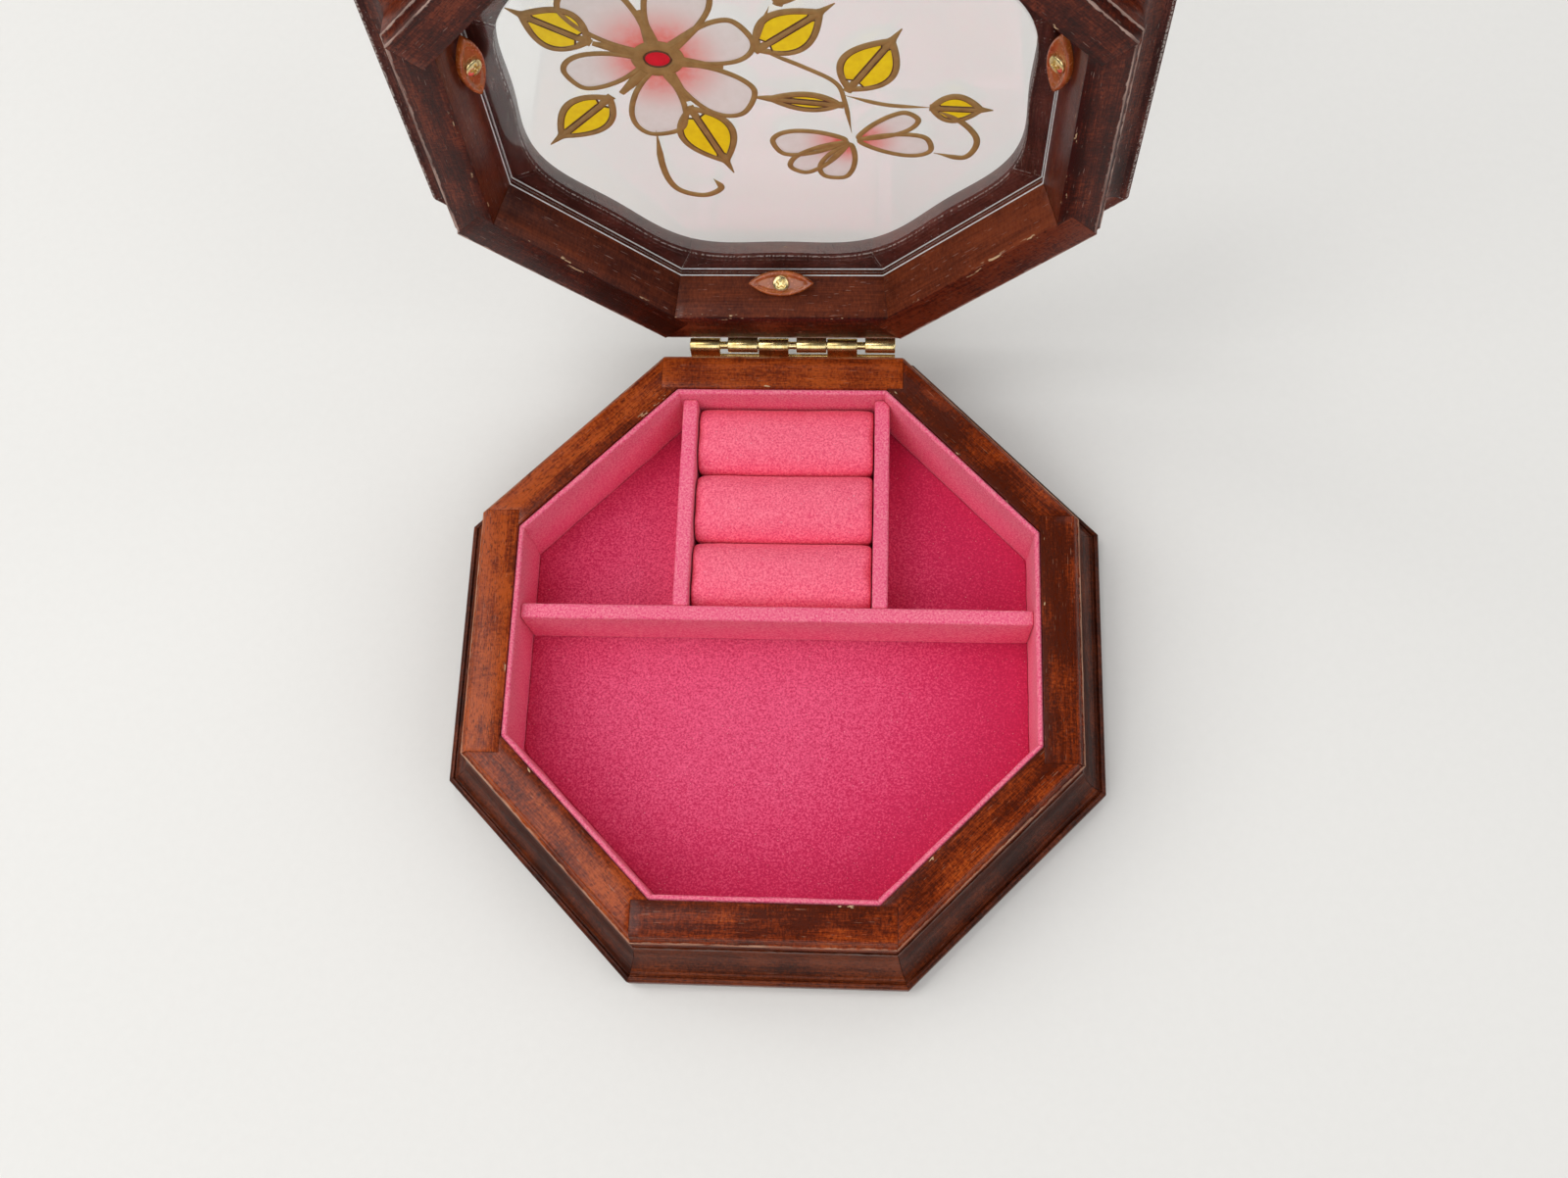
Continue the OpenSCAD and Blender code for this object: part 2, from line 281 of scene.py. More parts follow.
def wall(i, material):
    """A stave of the tray. The square ones run to the outer corner, the others fit between."""
    square = i % 2 == 0
    fold = fold_point(TRAY_R, BODY_R)
    cove = arc((BODY_R, RIM_Z), *EDGE_COVE, 270, 195)
    softened = (RIM_R - EDGE_SOFT, RIM_Z - EDGE_SOFT)
    rows = [(TRAY_R, RIM_Z), (TRAY_R, PANEL_Z), (PANEL_R, PANEL_Z), (PANEL_R, 0), (BODY_R, 0)]
    rows += cove + arc(softened, EDGE_SOFT, EDGE_SOFT, 0, 90, 6)
    rows = cut_rows(rows, [] if square else [fold[0]])
    ends = ([TRAY_R, BODY_R], [BODY_R * CORNER] * 2) if square else \
        ([TRAY_R, fold[0], BODY_R], [TRAY_R * CORNER, fold[1], BODY_R * CORNER])

    def place(row, t):
        rebated = row[0] <= PANEL_R + 1e-6 and row[1] <= PANEL_Z + 1e-6
        end = row[0] * CORNER if rebated and square else np.interp(row[0], *ends)
        return row[0], t * (end - JOINT_GAP), row[1]

    bm = sweep(rows, place, STAVE_COLUMNS, ends[0])
    round_edges(bm, JOINT_ROUND)
    if square:
        fill_rebate_corners(bm)
    add_side(("tray_stave", "wall"), bm, i, material)


def mitred(row, t):
    return row[0], t * (row[0] * CORNER - JOINT_GAP), row[1]


def plinth(i, material):
    """A foot moulding: a shallow hollow face, a fine groove and a round bead at the bottom."""
    inner = BODY_R + CLEAR
    crest = PLINTH_R - FOOT_ROUND
    rows = [(inner, 0), (PLINTH_R - 0.8 * MM, 0), (PLINTH_R, 0.8 * MM)]
    rows += arc((crest, FOOT_H - FOOT_ROUND), FOOT_ROUND, FOOT_ROUND, 0, 90, 10)
    rows += [(crest - x * MM, FOOT_H + z * MM) for x, z in FOOT_GROOVE]
    start, end = np.array(rows[-1]), np.array((inner + 0.5 * MM, PLINTH_TOP))
    pull = (start + end) / 2 + (np.array((end[0], start[1])) - (start + end) / 2) * FACE_HOLLOW
    for t in np.linspace(0, 1, 24)[1:]:
        rows.append(tuple((1 - t) ** 2 * start + 2 * t * (1 - t) * pull + t * t * end))
    rows.append((inner, PLINTH_TOP))
    bm = sweep(rows, mitred, STAVE_COLUMNS, [inner, PLINTH_R])
    round_edges(bm, JOINT_ROUND)
    add_side(("plinth_moulding", "plinth"), bm, i, material, tones=PLINTH_TONES)


def lid_wall(i, material):
    """A stave of the lid: mitred inside the mating face and outside the body, and between them
    square or fitted."""
    square = i % 2 == 1
    back = GLASS_BACK
    fold = (MATE_R + 0.01 * MM, BODY_R * CORNER) if square else fold_point(MATE_R, BODY_R)
    flare = arc((FLARE_R, FLARE_Z), FLARE_R - BODY_R, back - FLARE_Z, 90, 180, 20)
    edge = arc((BODY_R, 0), *EDGE_COVE, 90, 180)
    rows = [(MATE_R, 0), (WELL_R, GLASS_FRONT), (WELL_R, back)] + flare + edge
    rows = cut_rows(rows, [MATE_R, fold[0], BODY_R])
    ends = ([WELL_R, MATE_R, fold[0], BODY_R, FLARE_R],
            [WELL_R * CORNER, MATE_R * CORNER, fold[1], BODY_R * CORNER, FLARE_R * CORNER])

    def place(row, t):
        return row[0], t * (np.interp(row[0], *ends) - JOINT_GAP), row[1]

    bm = sweep(rows, place, STAVE_COLUMNS, ends[0])
    round_edges(bm, JOINT_ROUND)
    add_side(("lid_stave", "lid_wall"), bm, i, material, "lid", LID_TONES)


def window_edge(angle):
    """Distance from the side's centre line to the scalloped window, measured square to it."""
    return WINDOW_R * (1 - SCALLOP * cos(8 * angle)) * cos(angle)


def frame_board(i, material):
    """A mitred board of the top frame. A row's radius of 0 stands for the window's edge."""
    outer = PLINTH_R - FRAME_ROUND
    rows = [(0, FRAME_TOP), (0, FRAME_Z), (outer, FRAME_Z)]
    rows += arc((outer, FRAME_Z + FRAME_ROUND), FRAME_ROUND, FRAME_ROUND, -82, 0, 8)
    rows += arc((outer, FRAME_TOP - FRAME_ROUND), FRAME_ROUND, FRAME_ROUND, 0, 90, 8)

    def place(row, t):
        angle = t * (TURN / 2 - JOINT_GAP / PLINTH_R)
        r = row[0] or window_edge(angle)
        return r, r * tan(angle), row[1]

    bm = sweep(rows, place, 48, [0, PLINTH_R])
    round_edges(bm, 0.3 * MM, 3)
    add_side(("frame_board", "lid_frame"), bm, i, material, "lid", LID_TONES)


LINING_WAVE = 0.2 * MM     # how uneven a lining strip's inner face is
WAVE_SIZE = 7 * MM
DIVIDER_ROUND = 0.85 * MM
CARD_LIFT = 0.45 * MM      # how far the round-cornered card stands above the sheet below it


def lining(i, material):
    """A flocked strip with a rounded, slightly uneven top edge."""
    outer = TRAY_R - CLEAR
    half = (outer - LINING_R) / 2
    foot = FLOOR_Z - CARD_LIFT + CLEAR
    top = LINING_TOP - half
    rows = [(LINING_R, z) for z in np.linspace(top, foot, 9)] + [(outer, foot)]
    rows += arc((LINING_R + half, top), half, half, 0, 180, 12)[:-1]

    def place(row, t):
        return row[0], t * (row[0] * CORNER - 0.02 * MM), row[1]

    bm = sweep(rows, place, 48, [LINING_R, outer])
    round_edges(bm, 0.12 * MM)
    for v in bm.verts:
        inward = max(0, 1 - (v.co.x - LINING_R) / half)
        v.co.x -= LINING_WAVE * inward * noise.noise(Vector((v.co.y, v.co.z, i)) / WAVE_SIZE)
    add_side(("felt_lining", "lining"), bm, i, material)


# Felt floor and dividers


def divider(side, material):
    """A cloth-wrapped card: its CAD solid with round edges, softened a little."""
    low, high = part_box("divider_" + side)
    bm = bmesh.new()
    bmesh.ops.create_cube(bm, size=1, matrix=Matrix.Translation((low + high) / 2)
                          @ Matrix.Diagonal((*(high - low), 1)))
    for k in range(8):
        normal = side_matrix(k) @ Vector((1, 0, 0))
        geom = bm.verts[:] + bm.edges[:] + bm.faces[:]
        cut = bmesh.ops.bisect_plane(bm, geom=geom, plane_co=normal * (LINING_R - CLEAR),
                                     plane_no=normal, clear_outer=True)["geom_cut"]
        bmesh.ops.contextual_create(bm, geom=[e for e in cut if isinstance(e, bmesh.types.BMEdge)])
    round_edges(bm, DIVIDER_ROUND, 4)
    bmesh.ops.subdivide_edges(bm, edges=[e for e in bm.edges if e.calc_length() > 12 * MM],
                              cuts=20, use_grid_fill=True)
    ruffle(bm, 0.12 * MM, 6 * MM, len(side))
    add_mesh("felt_divider_" + side, bm, material, ["divider_" + side])


def octagon_outline(r, corner_r, steps):
    """An octagon whose corners are rounded, as a list of points."""
    outline = []
    for k in range(8):
        middle = TURN * (k + 0.5)
        centre = Vector((cos(middle), sin(middle))) * (r - corner_r) / cos(TURN / 2)
        outline += [(centre.x + corner_r * cos(a), centre.y + corner_r * sin(a))
                    for a in np.linspace(middle - TURN / 2, middle + TURN / 2, steps)]
    return outline


def plate(bm, outline, reach, steps):
    """A closed plate that follows steps of (distance inwards, height) from its foot to its top."""
    closed_tube(bm, [[bm.verts.new((x * (1 - inwards / reach), y * (1 - inwards / reach), z))
                      for x, y in outline] for inwards, z in steps])


def floor_card(material):
    """The flocked floor: a sheet under the lining, and on it a card with round corners."""
    bm = bmesh.new()
    low = FLOOR_Z - CARD_LIFT
    plate(bm, octagon_outline(TRAY_R - 0.2 * MM, 0.3 * MM, 2), TRAY_R, [(0, PANEL_Z), (0, low)])
    reach = LINING_R - 0.1 * MM
    steps = [(0, low - 0.1 * MM), (0, FLOOR_Z - 0.25 * MM), (0.1 * MM, FLOOR_Z - 0.08 * MM),
             (0.3 * MM, FLOOR_Z), (4 * MM, FLOOR_Z), (20 * MM, FLOOR_Z), (45 * MM, FLOOR_Z)]
    plate(bm, octagon_outline(reach, 6 * MM, 9), reach, steps)
    add_mesh("felt_floor", bm, material, ["floor_pad"])


def bottom_panel(material):
    """The thin panel in the staves' rebate, with its grain from front to back."""
    low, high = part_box("base_panel")
    bm = bmesh.new()
    plate(bm, octagon_outline(high.x - CLEAR, 0.3 * MM, 2), high.x,
          [(0.2 * MM, low.z), (0, low.z + 0.2 * MM), (0, high.z)])
    mesh = finish_side("bottom_panel", bm, 0)
    add_mesh("bottom_panel", mesh, material, ["base_panel"])


# Ring rolls

CLOTH_SCALE = 20      # the simulation runs at the size of a chair cushion
ROLL_VOXEL = 1.15 * MM
ROLL_CAP = 0.9 * MM   # furthest that a point may swell
ROLL_INSET = 0.25 * MM
ROLL_RISE = 0.62      # height of the bulging top over half the roll's width
ROLL_DENT = 0.3 * MM  # depth of the soft dents in the cloth
DENT_SIZE = 9 * MM
DENT_ABOVE = 5 * MM   # height over the roll's foot from which the cloth is dented
ROLL_SQUARE = 0.80    # below 1, the roll's section is squarer than an ellipse
ROLL_STRETCH = 1.03   # how much a roll is pressed against its neighbours and the dividers


def roll_blank(low, high):
    """A roll before it is stuffed: flat underneath, bulging on top, with soft square ends."""
    half = (high.y - low.y) / 2 - ROLL_INSET
    centre = (low.y + high.y) / 2
    rise = ROLL_RISE * (high.y - low.y) / 2
    base = high.z - ROLL_INSET - rise
    section = [(centre + half, low.z)]
    for a in np.radians(np.linspace(0, 180, 25)):
        c, s = cos(a), sin(a)
        section.append((centre + half * copysign(abs(c) ** ROLL_SQUARE, c),
                        base + rise * s ** ROLL_SQUARE))
    section.append((centre - half, low.z))
    half_length = (high.x - low.x) / 2 - 0.15 * MM
    middle = (low.x + high.x) / 2
    bm = bmesh.new()
    rings = []
    for t in np.linspace(-1, 1, 17):
        pinch = 1 - 0.02 * abs(t) ** 8
        rings.append([bm.verts.new((middle + t * half_length, centre + (y - centre) * pinch,
                                    low.z + (z - low.z) * pinch)) for y, z in section])
    closed_tube(bm, rings)
    round_edges(bm, 0.9 * MM, 3, 50)
    return bm


def stuffed(mesh):
    """The mesh swollen by a short cloth simulation with pressure inside."""
    mesh.transform(Matrix.Scale(CLOTH_SCALE, 4))
    blank = linked("blank", mesh)
    remesh = blank.modifiers.new("even", "REMESH")
    remesh.mode = "VOXEL"
    remesh.voxel_size = ROLL_VOXEL * CLOTH_SCALE
    even = evaluated(blank)
    blank.modifiers.clear()
    blank.data = even
    rest = points_of(even)
    foot = rest[:, 2].min() + ROLL_VOXEL * CLOTH_SCALE
    pinned = blank.vertex_groups.new(name="pinned")
    pinned.add([int(k) for k in np.flatnonzero(rest[:, 2] < foot)], 1.0, "REPLACE")
    cloth = blank.modifiers.new("cloth", "CLOTH")
    cloth.settings.use_pressure = True
    cloth.settings.uniform_pressure_force = 4
    cloth.settings.vertex_group_mass = "pinned"
    cloth.settings.effector_weights.gravity = 0
    scene = bpy.context.scene
    for number in range(1, 21):
        scene.frame_set(number)
    swollen = evaluated(blank)
    bpy.data.objects.remove(blank)
    scene.frame_set(1)
    move = points_of(swollen) - rest
    length = np.linalg.norm(move, axis=1, keepdims=True)
    cap = ROLL_CAP * CLOTH_SCALE
    kept = rest + move * np.minimum(1, cap / np.maximum(length, 1e-9))
    swollen.vertices.foreach_set("co", (kept / CLOTH_SCALE).astype(np.float32).ravel())
    return swollen


def ring_roll(place, material):
    """A padded roll, swollen against its neighbours and kept inside its CAD solid's box."""
    node = "ring_roll_" + place
    low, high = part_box(node)
    name = "padded_roll_" + place
    mesh = stuffed(to_mesh(name, roll_blank(low, high)))
    mesh.name = name
    points = points_of(mesh)
    middle = np.array(low + high) / 2
    points = middle + (points - middle) * (ROLL_STRETCH, ROLL_STRETCH, 1)
    points = np.clip(points, np.array(low), np.array(high))
    dent = np.array([noise.noise(Vector(p) / DENT_SIZE) for p in points]) + 0.5
    points[:, 2] -= dent * ROLL_DENT * (points[:, 2] > low.z + DENT_ABOVE)
    mesh.vertices.foreach_set("co", points.astype(np.float32).ravel())
    mesh.materials.clear()
    piece = add_mesh(name, mesh, material, [node], sharp=180)
    smooth = piece.modifiers.new("smooth", "SUBSURF")
    smooth.levels = 1
    smooth.render_levels = 1


# Hinge

LEAF_T = 0.8 * MM
BARREL_R = 1.9 * MM
BORE_R = 1.05 * MM
SPACER = 2.1 * MM
SLACK = 0.25 * MM
HINGE_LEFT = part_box("hinge_pin")[0].x
HINGE_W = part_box("hinge_pin")[1].x - HINGE_LEFT
KNUCKLE_W = (HINGE_W - 2 * SPACER - 3 * SLACK) / 6
BASE_LEAF_H = HINGE.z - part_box("hinge_leaf_base")[0].z
LID_LEAF_H = lid_box("hinge_leaf_lid")[1].z + MATE_Z - HINGE.z


def knuckle_x(k):
    """Where knuckle k starts: a wide gap follows every second knuckle, a narrow one the others."""
    return HINGE_LEFT + (k + 1) // 2 * SPACER + k // 2 * SLACK + k * KNUCKLE_W


def leaf_path(height):
    """The leaf's middle line, from its lower edge up and round the pin, seen from the left."""
    curl = (BARREL_R + BORE_R) / 2
    plate = BODY_R + LEAF_T / 2 - HINGE.y
    path = [(plate, -height), (plate, -height * 0.5), (plate, -BARREL_R - SLACK)]
    path += [(plate * 0.55 - curl * 0.45, -BARREL_R * 0.45)]
    return path + arc((0, 0), curl, curl, 180, -105, 28)


def leaf(name, node, first, height, material, body):
    """A stamped brass leaf: one sheet, cut between its knuckles and rolled round the pin. The
    lid's leaf is drawn upside down, closed, and then swung open."""
    path = leaf_path(height)
    flat_rows = 2      # spaces of the path that stay flat between the knuckles
    edges = sorted({round(x, 7) for k in range(6) for x in (knuckle_x(k), knuckle_x(k) + KNUCKLE_W)}
                   | {round(HINGE_LEFT, 7), round(HINGE_LEFT + HINGE_W, 7)})
    bm = bmesh.new()
    grid = [[bm.verts.new((x, HINGE.y + y, HINGE.z + z)) for y, z in path] for x in edges]
    own = [(knuckle_x(k), knuckle_x(k) + KNUCKLE_W) for k in range(first, 6, 2)]
    for k, (a, b) in enumerate(zip(grid, grid[1:])):
        middle = (edges[k] + edges[k + 1]) / 2
        rolled = any(low < middle < high for low, high in own)
        for j in range(len(path) - 1 if rolled else flat_rows):
            bm.faces.new((a[j], a[j + 1], b[j + 1], b[j]))
    bmesh.ops.delete(bm, geom=[v for v in bm.verts if not v.link_faces], context="VERTS")
    for v in bm.verts if body == "lid" else ():
        v.co.z = 2 * HINGE.z - v.co.z
    mesh = modified(to_mesh(name, bm), SOLIDIFY={"thickness": LEAF_T, "offset": 0},
                    BEVEL={"width": 0.12 * MM, "segments": 2, "limit_method": "ANGLE"})
    if body == "lid":
        mesh.transform(SWING)
    add_mesh(name, mesh, material, [node], body, sharp=50)


def modified(mesh, **modifiers):
    """The mesh with modifiers of the given types and settings applied, in that order."""
    holder = linked("holder", mesh)
    for kind, settings in modifiers.items():
        modifier = holder.modifiers.new(kind, kind)
        for key, value in settings.items():
            setattr(modifier, key, value)
    made = evaluated(holder)
    name = mesh.name
    bpy.data.objects.remove(holder)
    bpy.data.meshes.remove(mesh)
    made.name = name
    return made


# Screws and clips


HEAD_SUNK = 0.2 * MM


def disc_solid(bm, matrix, radius, height_at, rings=26, steps=72):
    """A round solid whose top follows height_at(x, y), with a flat foot sunk into its seat."""
    loops = []
    for share in np.linspace(1 / rings, 1, rings):
        loops.append([bm.verts.new(matrix @ Vector((x, y, height_at(x, y))))
                      for x, y in ring_points(radius * share, steps)])
    foot = [bm.verts.new(matrix @ Vector((x, y, -HEAD_SUNK)))
            for x, y in ring_points(radius, steps)]
    bridge(bm, [*loops, foot])
    middle = bm.verts.new(matrix @ Vector((0, 0, height_at(0, 0))))
    for a, b in zip(loops[0], loops[0][1:] + loops[0][:1]):
        bm.faces.new((middle, b, a))
    bm.faces.new(foot)


def ring_points(radius, steps):
    return [(radius * cos(a), radius * sin(a))
            for a in np.linspace(0, 2 * pi, steps, endpoint=False)]


def smooth_step(value, low, high):
    share = min(1, max(0, (value - low) / (high - low)))
    return share * share * (3 - 2 * share)


def dome(radius, rim, crown):
    """Height over a screw head that is rim high at its edge and crown higher in the middle."""
    def height(x, y):
        out = min(1, hypot(x, y) / radius)
        edge = 1 - smooth_step(out, 0.93, 1.0)
        return rim * (0.35 + 0.65 * edge) + crown * sqrt(max(0, 1 - out * out))
    return height


def cross_head(radius):
    """A domed head with a tapering cross recess."""
    shape = dome(radius, 0.35 * MM, 0.75 * MM)

    def height(x, y):
        arms = []
        for along, across in ((abs(x), abs(y)), (abs(y), abs(x))):
            reach = 1 - smooth_step(along, 0.50 * radius, 0.62 * radius)
            arms.append(reach * (1 - smooth_step(across, 0.22 * MM, 0.38 * MM)))
        middle = 1 - smooth_step(hypot(x, y), 0.45 * MM, 0.75 * MM)
        return shape(x, y) - 0.75 * MM * max(*arms, middle)
    return height


def slotted_head(radius):
    """A low round head with a straight driver slot."""
    shape = dome(radius, 0.3 * MM, 0.45 * MM)

    def height(x, y):
        return shape(x, y) - 0.5 * MM * (1 - smooth_step(abs(y), 0.2 * MM, 0.3 * MM))
    return height


CLIP_LEN = 17 * MM
CLIP_W = 6.5 * MM
CLIP_T = 1.5 * MM
CLIP_LOW = 5.7 * MM            # depth at which a clip's lower edge meets the lid wall
CLIP_TILT = radians(47.7)
CLIP_SHIFTS = {"right": -17 * MM, "back": 0, "left": 17 * MM, "front": 0}
CLIP_SCREW_R = 2.15 * MM


def clip_matrix(c):
    """Clip c's own place: Z points out of the lid's corner and X runs along the wall."""
    place = list(CLIP_SHIFTS)[c]
    foot = MATE_R - (MATE_R - WELL_R) * CLIP_LOW / GLASS_FRONT - CLEAR
    return (LID @ Matrix.Rotation(2 * TURN * c, 4, "Z")
            @ Matrix.Translation((foot, CLIP_SHIFTS[place], CLIP_LOW))
            @ Matrix.Rotation(pi + CLIP_TILT, 4, "Y")
            @ Matrix.Rotation(pi / 2, 4, "Z")
            @ Matrix.Translation((0, -CLIP_W / 2, 0)))


def clip_half_width(x):
    bow = (CLIP_LEN ** 2 + CLIP_W ** 2) / (4 * CLIP_W)
    return sqrt(bow ** 2 - x ** 2) - (bow - CLIP_W / 2)


def clip_height(edge):
    """Height of a clip's face at a distance from its outline: a rounded rim and a dished middle."""
    rim = CLIP_T * sqrt(1 - (1 - min(1, edge / (0.55 * MM))) ** 2 * 0.75)
    return rim - 0.55 * MM * smooth_step(edge, 0.75 * MM, 1.5 * MM)


def glass_clip(c, material):
    """A moulded clip, pointed at both ends."""
    bm = bmesh.new()
    tip = 0.35 * MM
    rings = []
    for t in np.linspace(-1, 1, 57):
        x = t * (CLIP_LEN / 2 - tip * 0.5)
        half = max(clip_half_width(x), tip * sqrt(max(0.04, 1 - t * t)))
        ring = [bm.verts.new((x, half, 0)), bm.verts.new((x, -half, 0))]
        for s in np.linspace(-1, 1, 25):
            across = half * sin(s * pi / 2)
            edge = min(half - abs(across), (CLIP_LEN / 2 - abs(x)) * 0.5)
            ring.append(bm.verts.new((x, across, clip_height(max(0, edge)))))
        rings.append(ring)
    closed_tube(bm, rings)
    side = list(CLIP_SHIFTS)[c]
    name = "moulded_clip_" + side
    mesh = to_mesh(name, bm)
    mesh.transform(clip_matrix(c))
    add_mesh(name, mesh, material, ["glass_clip_" + side], "lid", sharp=60)


def clip_screws(material):
    bm = bmesh.new()
    turns = (20, 52, -15, 70)
    for c, turn in enumerate(turns):
        seat = Matrix.Translation((0, 0, CLIP_T - 0.5 * MM))
        matrix = clip_matrix(c) @ seat @ Matrix.Rotation(radians(turn), 4, "Z")
        disc_solid(bm, matrix, CLIP_SCREW_R, cross_head(CLIP_SCREW_R))
    add_mesh("cross_head_screws", bm, material, ["clip_screws"], "lid", sharp=50)


SCREW_XS = (-19 * MM, 0, 19 * MM)
HINGE_SCREW_R = 2.1 * MM
LID_SCREW_Z = 4.6 * MM
BASE_SCREW_Z = HINGE.z - BASE_LEAF_H + 3.2 * MM


def hinge_screws(name, node, place, height, turns, material, body):
    bm = bmesh.new()
    middle = HINGE_LEFT + HINGE_W / 2
    for x, turn in zip(SCREW_XS, turns):
        seat = Matrix.Translation((middle + x, BODY_R + LEAF_T, height))
        matrix = place @ seat @ Matrix.Rotation(-pi / 2, 4, "X")
        disc_solid(bm, matrix @ Matrix.Rotation(radians(turn), 4, "Z"), HINGE_SCREW_R,
                   slotted_head(HINGE_SCREW_R))
    add_mesh(name, bm, material, [node], body, sharp=50)


# Glass and its painted flowers


def glass_pane(glass, ground):
    """The pane, with its ground arrises in a second material."""
    bm = bmesh.new()
    corners = [Vector((cos(a), sin(a), 0)) * GLASS_R / cos(TURN / 2)
               for a in (TURN * (k + 0.5) for k in range(8))]
    closed_tube(bm, [[bm.verts.new(p + Vector((0, 0, z))) for p in corners]
                     for z in (GLASS_FRONT, GLASS_BACK)])
    round_edges(bm, 0.22 * MM, 1)
    mesh = to_mesh("clear_pane", bm)
    mesh.transform(LID)
    add_mesh("clear_pane", mesh, glass, ["glass_panel"], "lid", sharp=20)
    mesh.materials.append(ground)
    facing = LID.to_3x3() @ Vector((0, 0, 1))
    for face in mesh.polygons:
        face.material_index = 1 if 0.3 < abs(face.normal.dot(facing)) < 0.99 else 0


PAINT_Z = GLASS_FRONT - 0.004 * MM    # the paint lies on the pane's inner face
LEAD_W = 1.35 * MM
LEAD_H = 0.30 * MM
LINE_W = 0.55 * MM
FILM_T = 0.09 * MM


def spline(points, closed=False, steps=10):
    """A smooth curve through the points, in the flat coordinates of the pane."""
    p = np.array(points, float)
    p = np.vstack([p[-1:], p, p[:2]]) if closed else \
        np.vstack([2 * p[:1] - p[1:2], p, 2 * p[-1:] - p[-2:-1]])
    t = np.linspace(0, 1, steps, endpoint=False)[:, None]
    out = []
    for a, b, c, d in zip(p, p[1:], p[2:], p[3:]):
        out.append(0.5 * (2 * b + (c - a) * t + (2 * a - 5 * b + 4 * c - d) * t ** 2
                          + (3 * b - a - 3 * c + d) * t ** 3))
    curve = np.vstack(out)
    return curve if closed else np.vstack([curve, p[-2:-1]])


def sideways(points, closed):
    """Unit vectors that point to the left of a line, at each of its points."""
    if closed:
        ahead = np.roll(points, -1, 0) - np.roll(points, 1, 0)
    else:
        ahead = np.gradient(points, axis=0)
    normal = np.stack([-ahead[:, 1], ahead[:, 0]], 1)
    return normal / np.maximum(np.linalg.norm(normal, axis=1, keepdims=True), 1e-12)


def offset(points, distance):
    """The closed outline moved inwards by a distance."""
    after = np.roll(points, -1, 0)
    area = np.sum(points[:, 0] * after[:, 1] - points[:, 1] * after[:, 0])
    return points + sideways(points, True) * distance * np.sign(area)


class Film:
    """Flat paint shapes that are collected into one mesh on the pane."""

    def __init__(self, name):
        self.name = name
        self.bm = bmesh.new()
        self.blush = self.bm.verts.layers.float.new("blush")

    def fill(self, outline, root=None, reach=1.0, thickness=FILM_T):
        """A thin plate inside an outline. Its blush fades from 1 at the root to 0 at the reach."""
        middle = outline.mean(0)
        rings = []
        for share in (1, 0.97, 0.8, 0.6, 0.4, 0.2):
            lift = 0 if share == 1 else thickness
            rings.append([self.point(middle + (p - middle) * share, lift, root, reach)
                          for p in outline])
        bridge(self.bm, rings)
        centre = self.point(middle, thickness, root, reach)
        top = rings[-1]
        for a, b in zip(top, top[1:] + top[:1]):
            self.bm.faces.new((a, b, centre))
        self.bm.faces.new(rings[0])

    def point(self, place, lift, root, reach):
        v = self.bm.verts.new((place[0], place[1], PAINT_Z - lift))
        v[self.blush] = 0 if root is None else \
            1 - smooth_step(float(np.linalg.norm(place - root)), 0, reach)
        return v

    def line(self, points, width, height, closed=False, taper=False):
        """A raised line with a rounded top. Its width may be one value or one for each point."""
        count = len(points)
        widths = np.broadcast_to(width, count).astype(float).copy()
        if taper:
            widths *= np.clip(np.minimum(np.arange(count), np.arange(count)[::-1]) / 6, 0.12, 1)
        shape = [(cos(a), sin(a)) for a in np.linspace(0, pi, 7)]
        rings = []
        for p, n, w in zip(points, sideways(points, closed), widths):
            high = height * min(1, w / widths.max() + 0.25)
            rings.append([self.bm.verts.new((p[0] + n[0] * w / 2 * c, p[1] + n[1] * w / 2 * c,
                                             PAINT_Z - high * h)) for c, h in shape])
        if closed:
            bridge(self.bm, rings + rings[:1])
        else:
            closed_tube(self.bm, rings)

    def finish(self, material):
        mesh = to_mesh(self.name, self.bm)
        mesh.transform(LID)
        add_mesh(self.name, mesh, material, (), "lid", sharp=40)


def petal_outline(root, angle, length, width):
    """A broad petal that starts narrow at its root and ends in a soft point."""
    half = width / 2
    side = [(0, 0), (0.12, 0.40), (0.38, 0.82), (0.68, 1.0), (0.90, 0.78), (1, 0.20)]
    shape = side + [(a, -b) for a, b in side[-2:0:-1]]
    return spline([placed(root, angle, a * length, b * half) for a, b in shape],
                  closed=True, steps=7)


def placed(root, angle, along, across):
    a = radians(angle)
    return (root[0] + along * cos(a) - across * sin(a),
            root[1] + along * sin(a) + across * cos(a))


